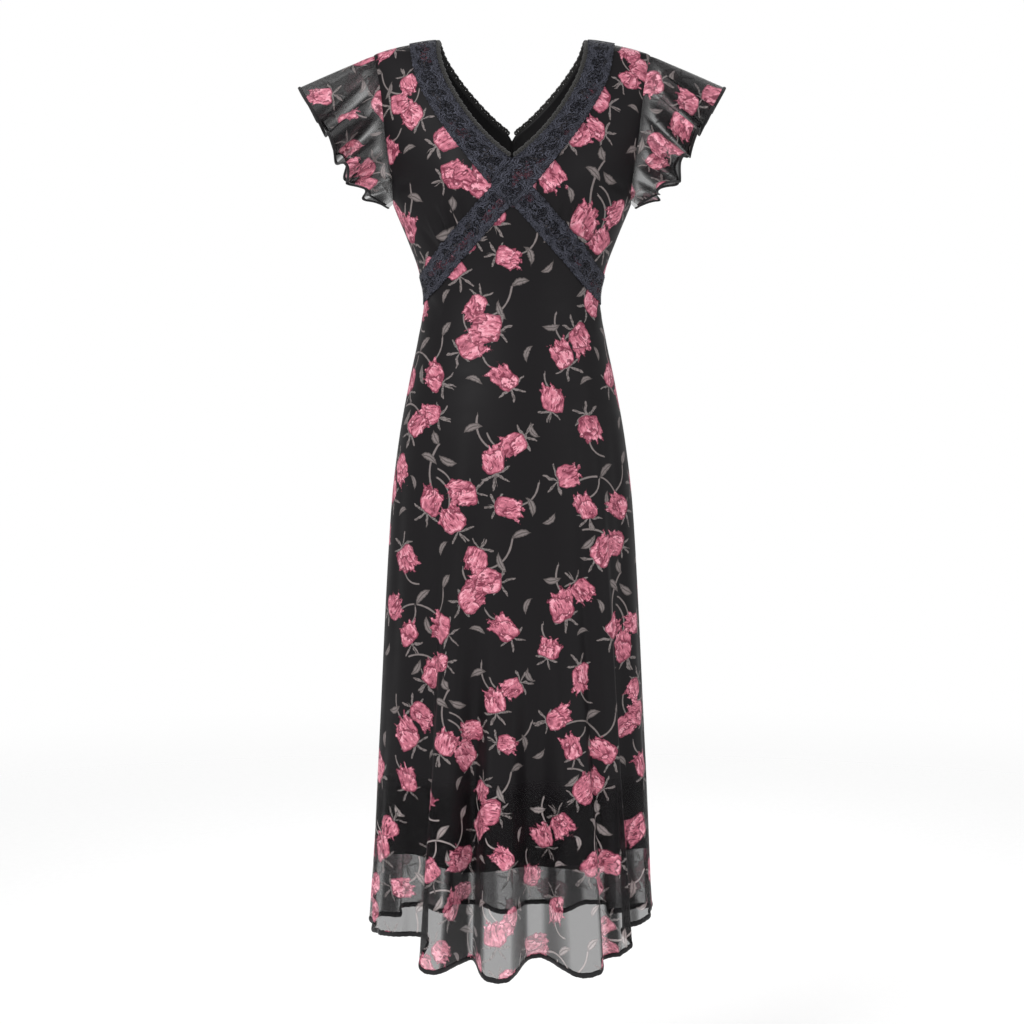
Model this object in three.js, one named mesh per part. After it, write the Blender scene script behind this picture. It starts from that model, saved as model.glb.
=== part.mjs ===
// A fitted V-neck midi dress with flutter sleeves, filled out as worn, with no wearer.
//
// Millimetres, +Z up. The front faces -Y, and left and right are the wearer's, so left is +X.
// The origin is midway between the neck ends of the two shoulder seams, where the wearer's
// shoulders carry the dress.
//
// Every panel is a thin wall on one shared surface, the outside of the chiffon. A place on that
// surface is a turn about the vertical axis, in degrees (0 is centre front, 90 the left side
// seam, 180 centre back), and a height z. Lace and picot edging lie on the same surface, moved
// out, and the lining hangs inside it, moved in.

import * as THREE from 'three';

// ---- driving dimensions ----

const seamGap = 0.3; // clearance between two pieces where they are sewn
const seamReach = 150; // from the vertical axis to a side or centre back seam, about
const centreSeamSpan = 34; // below the point of the V, where the two fronts meet

const chiffonWall = 1.5;
const liningWall = 1.2;
const laceWall = 1.0;
const picotWall = 1.2;
const skirtHemWall = 2.6;
const hemProud = 0.45; // how far a rolled hem stands out from its panel

const skirtHemDepth = 6;
const laceWidth = 34;
const laceLift = 0.9; // from the chiffon to the back of the lace
const picotWidth = 3.6;

// The lining's outside hangs this far inside the chiffon's, at the top and once it falls free.
const liningDrop = { top: 2.1, free: 5, freeBelow: -150 };
const liningNeckSetback = 0.4; // in degrees, behind the edge of the chiffon
const liningHem = { front: -1055, side: -1040, waves: 7, waveReach: 5, wavePhase: 40 };

// The dress in level sections: half its width, and its reach forward and back from the plane of
// the side seams. The first rows climb the rounded shoulder to the neck.
const sections = [
  { z: 0, half: 97, front: 10, back: 10 },
  { z: -4, half: 122, front: 21, back: 21 },
  { z: -9, half: 147, front: 32, back: 32 },
  { z: -14, half: 165, front: 39, back: 39 },
  { z: -19, half: 177, front: 45, back: 46 },
  { z: -43, half: 181, front: 62, back: 64 },
  { z: -77, half: 182, front: 80, back: 79 },
  { z: -114, half: 180, front: 94, back: 87 },
  { z: -144, half: 174, front: 102, back: 89 },
  { z: -182, half: 162, front: 106, back: 88 },
  { z: -209, half: 153, front: 104, back: 86 },
  { z: -254, half: 134.5, front: 95, back: 81 },
  { z: -293, half: 120.5, front: 87, back: 77 },
  { z: -331, half: 113.5, front: 84, back: 77 },
  { z: -382, half: 121.5, front: 88, back: 86 },
  { z: -434, half: 132.5, front: 95, back: 98 },
  { z: -511, half: 146.5, front: 102, back: 110 },
  { z: -589, half: 156, front: 105, back: 112 },
  { z: -694, half: 163, front: 103, back: 110 },
  { z: -851, half: 171, front: 96, back: 105 },
  { z: -1010, half: 179, front: 87, back: 100 },
  { z: -1180, half: 186, front: 77, back: 94 },
];

// A bust cup: a soft mound on each side of centre front.
const cup = { x: 74, z: -172, reach: 9, across: 44, up: 52 };

// Flutes of the skirt, each a soft cone that grows from its top to its reach at the hem.
// Width is half the flute, in degrees, and lean moves its crest sideways, so one flank folds under.
// The first one is a broad swell that carries the front flutes.
const flutes = [
  { turn: 4, reach: 18, width: 42, top: -560, lean: 0 },
  { turn: -26, reach: 65, width: 10.5, top: -640, lean: -10 },
  { turn: -4.5, reach: 66, width: 11.5, top: -740, lean: -2 },
  { turn: 24.5, reach: 60, width: 14, top: -700, lean: 6 },
  { turn: 42, reach: 40, width: 9, top: -560, lean: 8 },
  { turn: -58, reach: 9, width: 15, top: -680, lean: 0 },
  { turn: 66, reach: 8, width: 13, top: -620, lean: 0 },
  { turn: 118, reach: 30, width: 13, top: -640, lean: 5 },
  { turn: 146, reach: 48, width: 12, top: -700, lean: 4 },
  { turn: 171, reach: 52, width: 11, top: -740, lean: -2 },
  { turn: 197, reach: 50, width: 12, top: -690, lean: 3 },
  { turn: 223, reach: 42, width: 12, top: -660, lean: -6 },
  { turn: 247, reach: 22, width: 12, top: -640, lean: -4 },
];
const fluteCrest = 0.3; // share of a flute's width that is level at its crest
const fluteGrowth = 1.35; // above 1, a flute opens faster the lower it gets

// Height of the hem all round. It is lowest in front and not quite even at the sides.
const hemLine = [
  { turn: -180, z: -1160 },
  { turn: -130, z: -1153 },
  { turn: -90, z: -1157 },
  { turn: -60, z: -1152 },
  { turn: -40, z: -1150 },
  { turn: -26, z: -1177 },
  { turn: -15, z: -1172 },
  { turn: -4, z: -1182 },
  { turn: 10, z: -1168 },
  { turn: 24, z: -1180 },
  { turn: 41, z: -1162 },
  { turn: 56, z: -1141 },
  { turn: 90, z: -1128 },
  { turn: 130, z: -1150 },
  { turn: 180, z: -1160 },
];

// Neck edges on the left half, from the shoulder seam to the centre.
const frontNeck = [
  { z: 0, x: 97 },
  { z: -20, x: 95.5 },
  { z: -48, x: 88 },
  { z: -83, x: 70.5 },
  { z: -114, x: 49 },
  { z: -137, x: 28 },
  { z: -151, x: 12 },
  { z: -160, x: 0 },
];
const backNeck = [
  { z: 0, x: 97 },
  { z: -16, x: 91 },
  { z: -42, x: 74 },
  { z: -68, x: 52 },
  { z: -94, x: 26 },
  { z: -115, x: 0 },
];

// The seam under the bust, from centre front round to the side seam.
const underbust = [
  { turn: 0, z: -193 },
  { turn: 10, z: -218 },
  { turn: 18, z: -238 },
  { turn: 36, z: -272 },
  { turn: 61, z: -305 },
  { turn: 90, z: -321 },
];

// Outer edge of the neck lace, and the crossing where four bands meet under the V.
const neckLaceEdge = [
  { z: -5, x: 131 },
  { z: -50, x: 122 },
  { z: -93, x: 101 },
  { z: -127, x: 79 },
  { z: -157, x: 56 },
  { z: -192, x: 27 },
  { z: -220, x: 0 },
];
const crossing = { high: -160, low: -220, side: { x: 27, z: -192 } };

// The armhole: an oval from the shoulder end to the underarm, this far round from the side seam.
const armhole = { top: -19, bottom: -209, open: 26, roundness: 0.8 };

// Free edge of a flutter sleeve, from the tip over the shoulder down to the underarm.
// Along is the fraction of the way round the armhole from the front underarm.
const sleeveEdge = [
  { along: 0.5, x: 271, y: 0, z: -68 },
  { along: 0.44, x: 261, y: 24, z: -85 },
  { along: 0.36, x: 240, y: 48, z: -116 },
  { along: 0.28, x: 222, y: 62, z: -145 },
  { along: 0.2, x: 204, y: 66, z: -175 },
  { along: 0.12, x: 180, y: 55, z: -199 },
  { along: 0.03, x: 157, y: 22, z: -214 },
];
const sleeveStart = 0.05; // the sleeve stops short of the underarm at both ends
const sleeveSeamGap = 1.2; // clearance where the sleeve leaves the armhole edge
const sleeveSeamTurn = 0.5; // and round towards the side, in degrees
const sleeveSettle = 7; // how far the cloth between two flutes falls back
const sleeveGrowth = 1.3; // as fluteGrowth, for the flutes of a sleeve
const sleeveColumns = 32;
const sleeveWall = 1.2;
const sleeveHemWall = 2.2;
const sleeveRows = [0, 0.3, 0.65, 0.945]; // from the armhole, at 0, to the free edge, at 1
const sleeveHemRows = [0.958, 1];
const sleeveFlutes = {
  left: [
    { along: 0.1, reach: 9, width: 0.045 },
    { along: 0.2, reach: 17, width: 0.045 },
    { along: 0.295, reach: 17, width: 0.042 },
    { along: 0.375, reach: 15, width: 0.036 },
    { along: 0.445, reach: 11, width: 0.032 },
    { along: 0.58, reach: 14, width: 0.045 },
    { along: 0.68, reach: 17, width: 0.045 },
    { along: 0.785, reach: 16, width: 0.045 },
    { along: 0.88, reach: 10, width: 0.045 },
  ],
  right: [
    { along: 0.09, reach: 8, width: 0.04 },
    { along: 0.18, reach: 15, width: 0.042 },
    { along: 0.27, reach: 18, width: 0.045 },
    { along: 0.365, reach: 13, width: 0.04 },
    { along: 0.57, reach: 14, width: 0.045 },
    { along: 0.67, reach: 17, width: 0.045 },
    { along: 0.77, reach: 16, width: 0.045 },
    { along: 0.87, reach: 10, width: 0.045 },
  ],
};

// ---- small maths ----

const radians = THREE.MathUtils.degToRad;
const degrees = THREE.MathUtils.radToDeg;
const lerp = THREE.MathUtils.lerp;
const clamp = THREE.MathUtils.clamp;

// A smooth curve through one column of a table, read against another.
function track(rows, key, column) {
  const sorted = [...rows].sort((a, b) => a[key] - b[key]);
  const at = sorted.map((row) => row[key]);
  const values = sorted.map((row) => row[column]);
  const slopes = at.slice(1).map((next, i) => (values[i + 1] - values[i]) / (next - at[i]));
  const tangents = values.map((_, i) => {
    const before = slopes[Math.max(i - 1, 0)];
    const after = slopes[Math.min(i, slopes.length - 1)];
    return before * after <= 0 ? 0 : (2 * before * after) / (before + after);
  });
  return (place) => {
    const last = at.length - 1;
    if (place <= at[0]) return values[0];
    if (place >= at[last]) return values[last];
    let i = 0;
    while (at[i + 1] < place) i += 1;
    const span = at[i + 1] - at[i];
    const t = (place - at[i]) / span;
    const ease = t * t * (3 - 2 * t);
    const bend = t * (1 - t) * span;
    return lerp(values[i], values[i + 1], ease)
      + bend * ((1 - t) * tangents[i] - t * tangents[i + 1]);
  };
}

// 1 at the crest of a flute, 0 at its width and beyond, level at both.
function bump(offset, width, crest = 0) {
  const t = clamp((Math.abs(offset) / width - crest) / (1 - crest), 0, 1);
  return 0.5 + 0.5 * Math.cos(Math.PI * t);
}

const ramp = (from, to, count) => Array.from({ length: count + 1 }, (_, i) => lerp(from, to, i / count));
const evenly = (count) => ramp(0, 1, count);
const wrap = (turn) => ((((turn + 180) % 360) + 360) % 360) - 180;

// ---- the shared surface ----

const halfAt = track(sections, 'z', 'half');
const frontAt = track(sections, 'z', 'front');
const backAt = track(sections, 'z', 'back');
const hemAt = track(hemLine, 'turn', 'z');
const frontNeckX = track(frontNeck, 'z', 'x');
const backNeckX = track(backNeck, 'z', 'x');
const underbustZ = track(underbust, 'turn', 'z');
const underbustTurn = track(underbust, 'z', 'turn');
const hemZ = (turn) => hemAt(wrap(turn));

// A place on the plain figure, with neither cups nor flutes.
function plainPoint(turn, z) {
  const angle = radians(turn);
  const forward = Math.cos(angle);
  const reach = forward > 0 ? frontAt(z) : backAt(z);
  return new THREE.Vector3(halfAt(z) * Math.sin(angle), -reach * forward, z);
}

// The figure with its cups.
function figurePoint(turn, z) {
  const point = plainPoint(turn, z);
  const forward = Math.cos(radians(turn));
  if (forward <= 0) return point;
  const across = (Math.abs(point.x) - cup.x) / cup.across;
  const up = (z - cup.z) / cup.up;
  point.y -= cup.reach * Math.exp(-across * across - up * up) * Math.sqrt(forward);
  return point;
}

// Its outward direction.
function outward(place, turn, z) {
  const step = 0.5;
  const round = place(turn + step, z).sub(place(turn - step, z));
  const rise = place(turn, z + step).sub(place(turn, z - step));
  return round.cross(rise).normalize();
}

// The outside of the chiffon: the figure with the skirt's flutes.
function clothPoint(turn, z) {
  const point = figurePoint(turn, z);
  let reach = 0;
  let lean = 0;
  for (const flute of flutes) {
    if (z >= flute.top) continue;
    const grown = ((flute.top - z) / (flute.top - hemZ(flute.turn))) ** fluteGrowth;
    const share = bump(wrap(turn - flute.turn), flute.width, fluteCrest) * grown;
    reach += flute.reach * share;
    lean += flute.lean * share;
  }
  if (reach === 0) return point;
  const out = outward(figurePoint, turn, z).setZ(0).normalize();
  const along = new THREE.Vector3(-out.y, out.x, 0);
  return point.addScaledVector(out, reach).addScaledVector(along, lean);
}

// The turn of a point of the front or the back that is seen at x, at height z.
const frontTurn = (x, z) => degrees(Math.asin(clamp(x / halfAt(z), -1, 1)));
const backTurn = (x, z) => 180 - frontTurn(x, z);

// How far the armhole is open at a height, in degrees from the side seam.
function armholeOpen(z) {
  if (z >= armhole.top || z <= armhole.bottom) return 0;
  const t = (armhole.top - z) / (armhole.top - armhole.bottom);
  return armhole.open * (2 * Math.sqrt(t * (1 - t))) ** armhole.roundness;
}

// ---- walls ----

// A closed wall from a grid of places, each with its outer and inner point.
function wallGeometry(grid) {
  const rows = grid.length;
  const columns = grid[0].length;
  const positions = [];
  for (const side of ['outer', 'inner']) {
    for (const row of grid) for (const place of row) positions.push(...place[side].toArray());
  }
  const outer = (i, j) => i * columns + j;
  const inner = (i, j) => rows * columns + outer(i, j);
  const faces = [];
  const quad = (a, b, c, d) => faces.push(a, b, c, a, c, d);
  for (let i = 0; i < rows - 1; i += 1) {
    for (let j = 0; j < columns - 1; j += 1) {
      quad(outer(i, j), outer(i + 1, j), outer(i + 1, j + 1), outer(i, j + 1));
      quad(inner(i, j), inner(i, j + 1), inner(i + 1, j + 1), inner(i + 1, j));
    }
    const end = columns - 1;
    quad(outer(i, 0), inner(i, 0), inner(i + 1, 0), outer(i + 1, 0));
    quad(outer(i, end), outer(i + 1, end), inner(i + 1, end), inner(i, end));
  }
  for (let j = 0; j < columns - 1; j += 1) {
    const end = rows - 1;
    quad(outer(0, j), outer(0, j + 1), inner(0, j + 1), inner(0, j));
    quad(outer(end, j), inner(end, j), inner(end, j + 1), outer(end, j + 1));
  }
  const geometry = new THREE.BufferGeometry();
  geometry.setAttribute('position', new THREE.Float32BufferAttribute(positions, 3));
  geometry.setIndex(signedVolume(positions, faces) > 0 ? faces : faces.reverse());
  geometry.computeVertexNormals();
  return geometry;
}

function signedVolume(positions, faces) {
  const corner = (k) => new THREE.Vector3().fromArray(positions, 3 * faces[k]);
  let volume = 0;
  for (let k = 0; k < faces.length; k += 3) {
    volume += corner(k).dot(corner(k + 1).cross(corner(k + 2))) / 6;
  }
  return volume;
}

// A wall on a surface: its outside is moved out by lift, and it is wall thick.
function surfaceWall(places, surface, lift, wall) {
  const grid = places.map((row) => row.map(({ turn, z }) => {
    const point = surface(turn, z);
    const normal = outward(surface, turn, z);
    return {
      outer: point.clone().addScaledVector(normal, lift),
      inner: point.clone().addScaledVector(normal, lift - wall),
    };
  }));
  return wallGeometry(grid);
}

// ---- materials ----

const finish = (name, color, roughness) => {
  const material = new THREE.MeshStandardMaterial({ color, roughness, metalness: 0 });
  material.name = name;
  return material;
};
const chiffon = finish('chiffon', 0x242226, 0.75);
const liningCloth = finish('lining', 0x131214, 0.6);
const lace = finish('lace', 0x3a3c4c, 0.85);
const edging = finish('edging', 0x1a191b, 0.7);

const dress = new THREE.Group();

function addPiece(name, geometry, material) {
  const piece = new THREE.Mesh(geometry, material);
  piece.name = name;
  dress.add(piece);
}

// ---- fronts above the underbust seam ----

// The turn at which a front starts, next to the neck, the centre seam or the underbust seam.
function frontInner(z) {
  const point = frontNeck.at(-1).z;
  if (z > point) return frontTurn(frontNeckX(z) + seamGap, z);
  const start = z > point - centreSeamSpan ? 0 : underbustTurn(z - seamGap);
  return start + degrees(seamGap / 2 / frontAt(z));
}

// The turn at which it ends, on the shoulder seam, the armhole or the side seam.
const frontOuter = (z) => 90 - armholeOpen(z) - degrees(seamGap / 2 / frontAt(z));

const bodiceLevels = [-1.5, -4, -9, -14, -19, -32, -52, -75, -100, -122, -142, -160,
  -177, -193.5, -204, -209, -225, -242, -264, -284, -300, -314];
const bodiceColumns = 5;

function frontPlaces(side) {
  return bodiceLevels.map((z) => evenly(bodiceColumns).map((t) => ({
    turn: side * lerp(frontInner(z), frontOuter(z), t),
    z,
  })));
}

// ---- the front panel, from the underbust seam to the hem ----

const skirtShare = [0, 0.022, 0.045, 0.068, 0.092, 0.118, 0.15, 0.2, 0.28, 0.4, 0.53, 0.67, 0.83, 1];

const frontCount = 34;
const fineSteps = 400; // places tried between two seams when the columns are set out
const fluteCrowding = 1.6; // how much closer the columns stand in a flute
const crowdingSpread = 1.15; // and how far past its width

// Turns of the skirt's columns, close together in the flutes.
function fluteColumns(from, to, count) {
  const fine = ramp(from, to, fineSteps);
  const sums = [0];
  for (const turn of fine.slice(1)) {
    const inFlute = Math.max(
      ...flutes.map((flute) => bump(wrap(turn - flute.turn), flute.width * crowdingSpread)),
    );
    sums.push(sums.at(-1) + 1 + fluteCrowding * inFlute);
  }
  return evenly(count).map((t) => fine[sums.findIndex((sum) => sum >= t * sums.at(-1))]);
}

const seamTurn = degrees(seamGap / 2 / seamReach);
const frontColumns = fluteColumns(-90 + seamTurn, 90 - seamTurn, frontCount);

const frontPanelPlaces = skirtShare.map((share) => frontColumns.map((turn) => {
  const top = underbustZ(Math.abs(turn)) - 2 * seamGap;
  const bottom = hemZ(turn) + skirtHemDepth + 2 * seamGap;
  return { turn, z: lerp(top, bottom, share) };
}));

// ---- the backs, from the shoulder to the hem ----

const backLevels = [-1.5, -4, -9, -14, -19, -32, -52, -75, -100, -122, -160, -209, -254,
  -293, -331, -382, -434, -511, -600, -700, -820, -940, -1060];
const backCount = 10;
// Above this span the columns of a back are even, and below it they follow the flutes.
const backEven = { above: -250, below: -550 };

function backInner(z) {
  const point = backNeck.at(-1).z;
  if (z > point) return backTurn(backNeckX(z) + seamGap, z);
  return 180 - seamTurn;
}

const backOuter = (z) => 90 + armholeOpen(z) + degrees(seamGap / 2 / backAt(z));

// Turns of the skirt's columns from a side seam to centre back, negative on the right.
function backColumns(side) {
  if (side > 0) return fluteColumns(90 + seamTurn, 180 - seamTurn, backCount);
  return fluteColumns(-180 + seamTurn, -90 - seamTurn, backCount).reverse();
}

function backPlaces(side) {
  const columns = backColumns(side);
  const levels = backLevels.map((z) => evenly(backCount).map((t, j) => {
    const even = side * lerp(backOuter(z), backInner(z), t);
    const settled = clamp((backEven.above - z) / (backEven.above - backEven.below), 0, 1);
    return { turn: lerp(even, columns[j], settled), z };
  }));
  const hemRow = columns.map((turn) => ({ turn, z: hemZ(turn) + skirtHemDepth + 2 * seamGap }));
  return [...levels, hemRow];
}

// ---- rolled hem of the skirt, a thicker strip below the panels ----

// The back strip runs on over the centre back seam.
const pastCentre = backColumns(-1).slice(0, -1).reverse().map((turn) => turn + 360);
const backHemColumns = [...backColumns(1), ...pastCentre];

function skirtHemPlaces(turns) {
  const levels = [skirtHemDepth, 0];
  return levels.map((above) => turns.map((turn) => ({ turn, z: hemZ(turn) + above })));
}

// ---- lining, a plainer tube inside ----

// Its hem is a little wavy, and higher at the side seams.
function liningHemZ(turn) {
  const side = Math.sin(radians(turn)) ** 2;
  const wave = Math.sin(radians(liningHem.waves * turn + liningHem.wavePhase));
  return lerp(liningHem.front, liningHem.side, side) + liningHem.waveReach * wave;
}

const liningLevels = [-14, -19, -32, -75, -122, -160, -193.5, -204, -209, -242, -284, -331,
  -434, -511, -600, -900];
const liningCount = 5;

function liningPlaces(side, inner, outer) {
  const row = (z) => evenly(liningCount).map((t) => side * lerp(outer(z), inner(z), t));
  const levels = liningLevels.map((z) => row(z).map((turn) => ({ turn, z })));
  return [...levels, row(liningHem.front).map((turn) => ({ turn, z: liningHemZ(turn) }))];
}

// The lining meets the chiffon at the shoulder and neck and hangs free below.
function liningWallGeometry(places) {
  const grid = places.map((row) => row.map(({ turn, z }) => {
    const point = plainPoint(turn, z);
    const normal = outward(plainPoint, turn, z);
    const freed = clamp(z / liningDrop.freeBelow, 0, 1);
    const drop = lerp(liningDrop.top, liningDrop.free, freed);
    return {
      outer: point.clone().addScaledVector(normal, -drop),
      inner: point.clone().addScaledVector(normal, -drop - liningWall),
    };
  }));
  return wallGeometry(grid);
}

const liningFrontInner = (z) => {
  const point = frontNeck.at(-1).z;
  return z > point ? frontInner(z) + liningNeckSetback : degrees(seamGap / 2 / frontAt(z));
};

// ---- lace ----

const neckLaceX = track(neckLaceEdge, 'z', 'x');
const neckLaceColumns = 3;
const sharedLaceLevels = bodiceLevels.filter((z) => z > crossing.side.z);
const neckLaceLevels = {
  left: [...sharedLaceLevels, crossing.side.z, -206, crossing.low + 2],
  right: [...sharedLaceLevels, crossing.side.z + 5],
};

// Half the width of the crossing at a height.
function crossingX(z) {
  const { high, low, side } = crossing;
  return side.x * (z > side.z ? (high - z) / (high - side.z) : (z - low) / (side.z - low));
}

// Where a band starts. The left one lies over the crossing and the right one stops at it.
function neckLaceInner(side, z) {
  if (z > crossing.high) return frontTurn(frontNeckX(z), z);
  const edge = frontTurn(crossingX(z), z);
  return side > 0 ? -edge : edge + 3 * seamTurn;
}

const neckLaceOuter = (z) => frontTurn(Math.min(neckLaceX(z), halfAt(z)), z);

function neckLacePlaces(label, side) {
  return neckLaceLevels[label].map((z) => evenly(neckLaceColumns).map((t) => ({
    turn: side * lerp(neckLaceInner(side, z), neckLaceOuter(z), t),
    z,
  })));
}

// The place a distance away from another across the surface, in a direction square to a course.
function stepAcross(place, course, distance) {
  const { turn, z } = place;
  const perTurn = figurePoint(turn + 0.5, z).sub(figurePoint(turn - 0.5, z));
  const perRise = figurePoint(turn, z + 0.5).sub(figurePoint(turn, z - 0.5));
  const square = outward(figurePoint, turn, z).cross(course).normalize().multiplyScalar(distance);
  const tt = perTurn.dot(perTurn);
  const tr = perTurn.dot(perRise);
  const rr = perRise.dot(perRise);
  const st = square.dot(perTurn);
  const sr = square.dot(perRise);
  const scale = tt * rr - tr * tr;
  return { turn: turn + (st * rr - sr * tr) / scale, z: z + (sr * tt - st * tr) / scale };
}

const underbustLaceColumns = 13;
const acrossBand = [0.5, 0.17, -0.17, -0.5]; // shares of its width from the middle line

// Underbust bands, from the crossing round to the side seam.
function underbustLacePlaces(side) {
  const crossingMiddle = (crossing.low + crossing.side.z) / 2;
  const start = frontTurn(crossing.side.x / 2 + 4 * seamGap, crossingMiddle);
  const end = 90 - seamTurn;
  return ramp(start, end, underbustLaceColumns).map((turn) => {
    const middle = { turn, z: underbustZ(turn) };
    const course = figurePoint(turn + 1, underbustZ(turn + 1)).sub(figurePoint(turn, middle.z));
    return acrossBand.map((share) => {
      const halfway = stepAcross(middle, course, (share * laceWidth) / 2);
      const place = stepAcross(halfway, course, (share * laceWidth) / 2);
      return { turn: side * (turn === end ? end : Math.min(place.turn, end)), z: place.z };
    });
  });
}

// ---- picot edging, a narrow strip just inside the neck edges ----

function picotPlaces(side, neckX, turnOf, panelLevels, lowest) {
  const levels = [...panelLevels.filter((z) => z > lowest + picotWall), lowest + picotWall];
  return levels.map((z) => {
    const slope = (neckX(z - 1) - neckX(z + 1)) / 2;
    const edge = neckX(z) - seamGap;
    const free = Math.max(edge - picotWidth * Math.hypot(1, slope), seamGap / 2);
    return [edge, free].map((x) => ({ turn: side * turnOf(x, z), z }));
  });
}

// ---- flutter sleeves ----

const sleeveX = track(sleeveEdge, 'along', 'x');
const sleeveY = track(sleeveEdge, 'along', 'y');
const sleeveZ = track(sleeveEdge, 'along', 'z');

// Going round the left armhole: front underarm at 0, shoulder at a half, back underarm at 1.
function armholePoint(along) {
  const rise = 0.5 - 0.5 * Math.cos(2 * Math.PI * along);
  const z = lerp(armhole.bottom, armhole.top, rise);
  const wide = Math.abs(Math.sin(2 * Math.PI * along)) ** armhole.roundness;
  const open = armhole.open * wide - sleeveSeamTurn;
  return figurePoint(along < 0.5 ? 90 - open : 90 + open, z);
}

function sleeveEdgePoint(along) {
  const near = Math.min(along, 1 - along);
  const forward = along < 0.5 ? -1 : 1;
  return new THREE.Vector3(sleeveX(near), forward * sleeveY(near), sleeveZ(near));
}

// A place on the left sleeve: down is 0 at the armhole seam and 1 at the free edge.
function sleevePoint(along, down, fluteRows) {
  const seam = armholePoint(along);
  const edge = sleeveEdgePoint(along);
  const rib = edge.clone().sub(seam);
  const round = sleeveEdgePoint(along + 0.01).sub(sleeveEdgePoint(along - 0.01));
  const out = round.cross(rib).normalize();
  const wave = fluteRows.reduce(
    (sum, flute) => sum + flute.reach * bump(along - flute.along, flute.width),
    -sleeveSettle * Math.sin(Math.PI * along),
  );
  const point = seam.addScaledVector(rib, down);
  point.x += sleeveSeamGap * (1 - down);
  return point.addScaledVector(out, wave * Math.max(down, 0) ** sleeveGrowth);
}

function sleeveGeometry(side, fluteRows, rows, lift, wall) {
  const alongs = ramp(sleeveStart, 1 - sleeveStart, sleeveColumns);
  const step = 0.004;
  const grid = rows.map((down) => alongs.map((along) => {
    const point = sleevePoint(along, down, fluteRows);
    const round = sleevePoint(along + step, down, fluteRows)
      .sub(sleevePoint(along - step, down, fluteRows));
    const rib = sleevePoint(along, down + step, fluteRows)
      .sub(sleevePoint(along, down - step, fluteRows));
    const normal = round.cross(rib).normalize();
    const place = {
      outer: point.clone().addScaledVector(normal, lift),
      inner: point.clone().addScaledVector(normal, lift - wall),
    };
    place.outer.x *= side;
    place.inner.x *= side;
    return place;
  }));
  return wallGeometry(grid);
}

// ---- put the dress together ----

const hemWall = (turns) => surfaceWall(skirtHemPlaces(turns), clothPoint, hemProud, skirtHemWall);
const laceWallGeometry = (places) => surfaceWall(places, clothPoint, laceLift + laceWall, laceWall);
const picotGeometry = (places) => surfaceWall(places, figurePoint, 0, picotWall);

for (const [label, side] of [['left', 1], ['right', -1]]) {
  addPiece(`bodice_front_${label}`, surfaceWall(frontPlaces(side), clothPoint, 0, chiffonWall), chiffon);
  addPiece(`back_${label}`, surfaceWall(backPlaces(side), clothPoint, 0, chiffonWall), chiffon);

  const liningFront = liningPlaces(side, liningFrontInner, frontOuter);
  const liningBack = liningPlaces(side, backInner, backOuter);
  addPiece(`lining_front_${label}`, liningWallGeometry(liningFront), liningCloth);
  addPiece(`lining_back_${label}`, liningWallGeometry(liningBack), liningCloth);

  addPiece(`lace_neck_${label}`, laceWallGeometry(neckLacePlaces(label, side)), lace);
  addPiece(`lace_underbust_${label}`, laceWallGeometry(underbustLacePlaces(side)), lace);

  const frontEdge = picotPlaces(side, frontNeckX, frontTurn, bodiceLevels, frontNeck.at(-1).z);
  const backEdge = picotPlaces(side, backNeckX, backTurn, backLevels, backNeck.at(-1).z);
  addPiece(`picot_front_${label}`, picotGeometry(frontEdge), edging);
  addPiece(`picot_back_${label}`, picotGeometry(backEdge), edging);

  const sleeve = sleeveGeometry(side, sleeveFlutes[label], sleeveRows, 0, sleeveWall);
  const sleeveHem = sleeveGeometry(side, sleeveFlutes[label], sleeveHemRows, hemProud, sleeveHemWall);
  addPiece(`sleeve_${label}`, sleeve, chiffon);
  addPiece(`sleeve_hem_${label}`, sleeveHem, edging);
}
addPiece('front_panel', surfaceWall(frontPanelPlaces, clothPoint, 0, chiffonWall), chiffon);
addPiece('skirt_hem_front', hemWall(frontColumns), edging);
addPiece('skirt_hem_back', hemWall(backHemColumns), edging);

export default dress;
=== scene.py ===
import math

import bpy
import numpy as np
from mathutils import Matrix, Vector


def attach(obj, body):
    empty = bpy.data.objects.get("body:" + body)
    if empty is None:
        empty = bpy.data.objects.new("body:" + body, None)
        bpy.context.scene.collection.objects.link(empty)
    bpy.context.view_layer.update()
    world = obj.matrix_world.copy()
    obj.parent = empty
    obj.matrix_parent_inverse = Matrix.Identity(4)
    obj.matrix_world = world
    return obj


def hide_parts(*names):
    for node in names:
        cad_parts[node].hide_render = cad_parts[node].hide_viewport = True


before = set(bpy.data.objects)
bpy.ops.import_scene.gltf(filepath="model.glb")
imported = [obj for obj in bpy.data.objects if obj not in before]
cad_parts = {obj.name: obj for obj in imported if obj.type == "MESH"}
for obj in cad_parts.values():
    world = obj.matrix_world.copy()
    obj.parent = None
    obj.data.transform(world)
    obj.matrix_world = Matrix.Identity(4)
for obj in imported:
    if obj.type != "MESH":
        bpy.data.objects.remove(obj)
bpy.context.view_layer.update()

mm = 0.001

# Tables are in millimetres and degrees. A place on the dress is a turn about the vertical axis,
# 0 at centre front, 90 at the left side seam and 180 at centre back, and a height z.
sides = {"left": 1, "right": -1}


def table(columns, rows):
    return [dict(zip(columns.split(), row)) for row in rows]


cameraSetup = {
    "place": (0, -2800, -413),
    "target": (0, 0, -605),
    "lens": 75.9,
    "sensor": 36,
}


def aimAt(thing, place, target):
    heading = (Vector(target) - Vector(place)) * mm
    thing.rotation_euler = heading.to_track_quat("-Z", "Y").to_euler()


bpy.ops.object.camera_add(location=Vector(cameraSetup["place"]) * mm)
camera = bpy.context.object
camera.name = "frontCamera"
camera.data.lens = cameraSetup["lens"]
camera.data.sensor_width = cameraSetup["sensor"]
aimAt(camera, cameraSetup["place"], cameraSetup["target"])
bpy.context.scene.camera = camera

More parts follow.
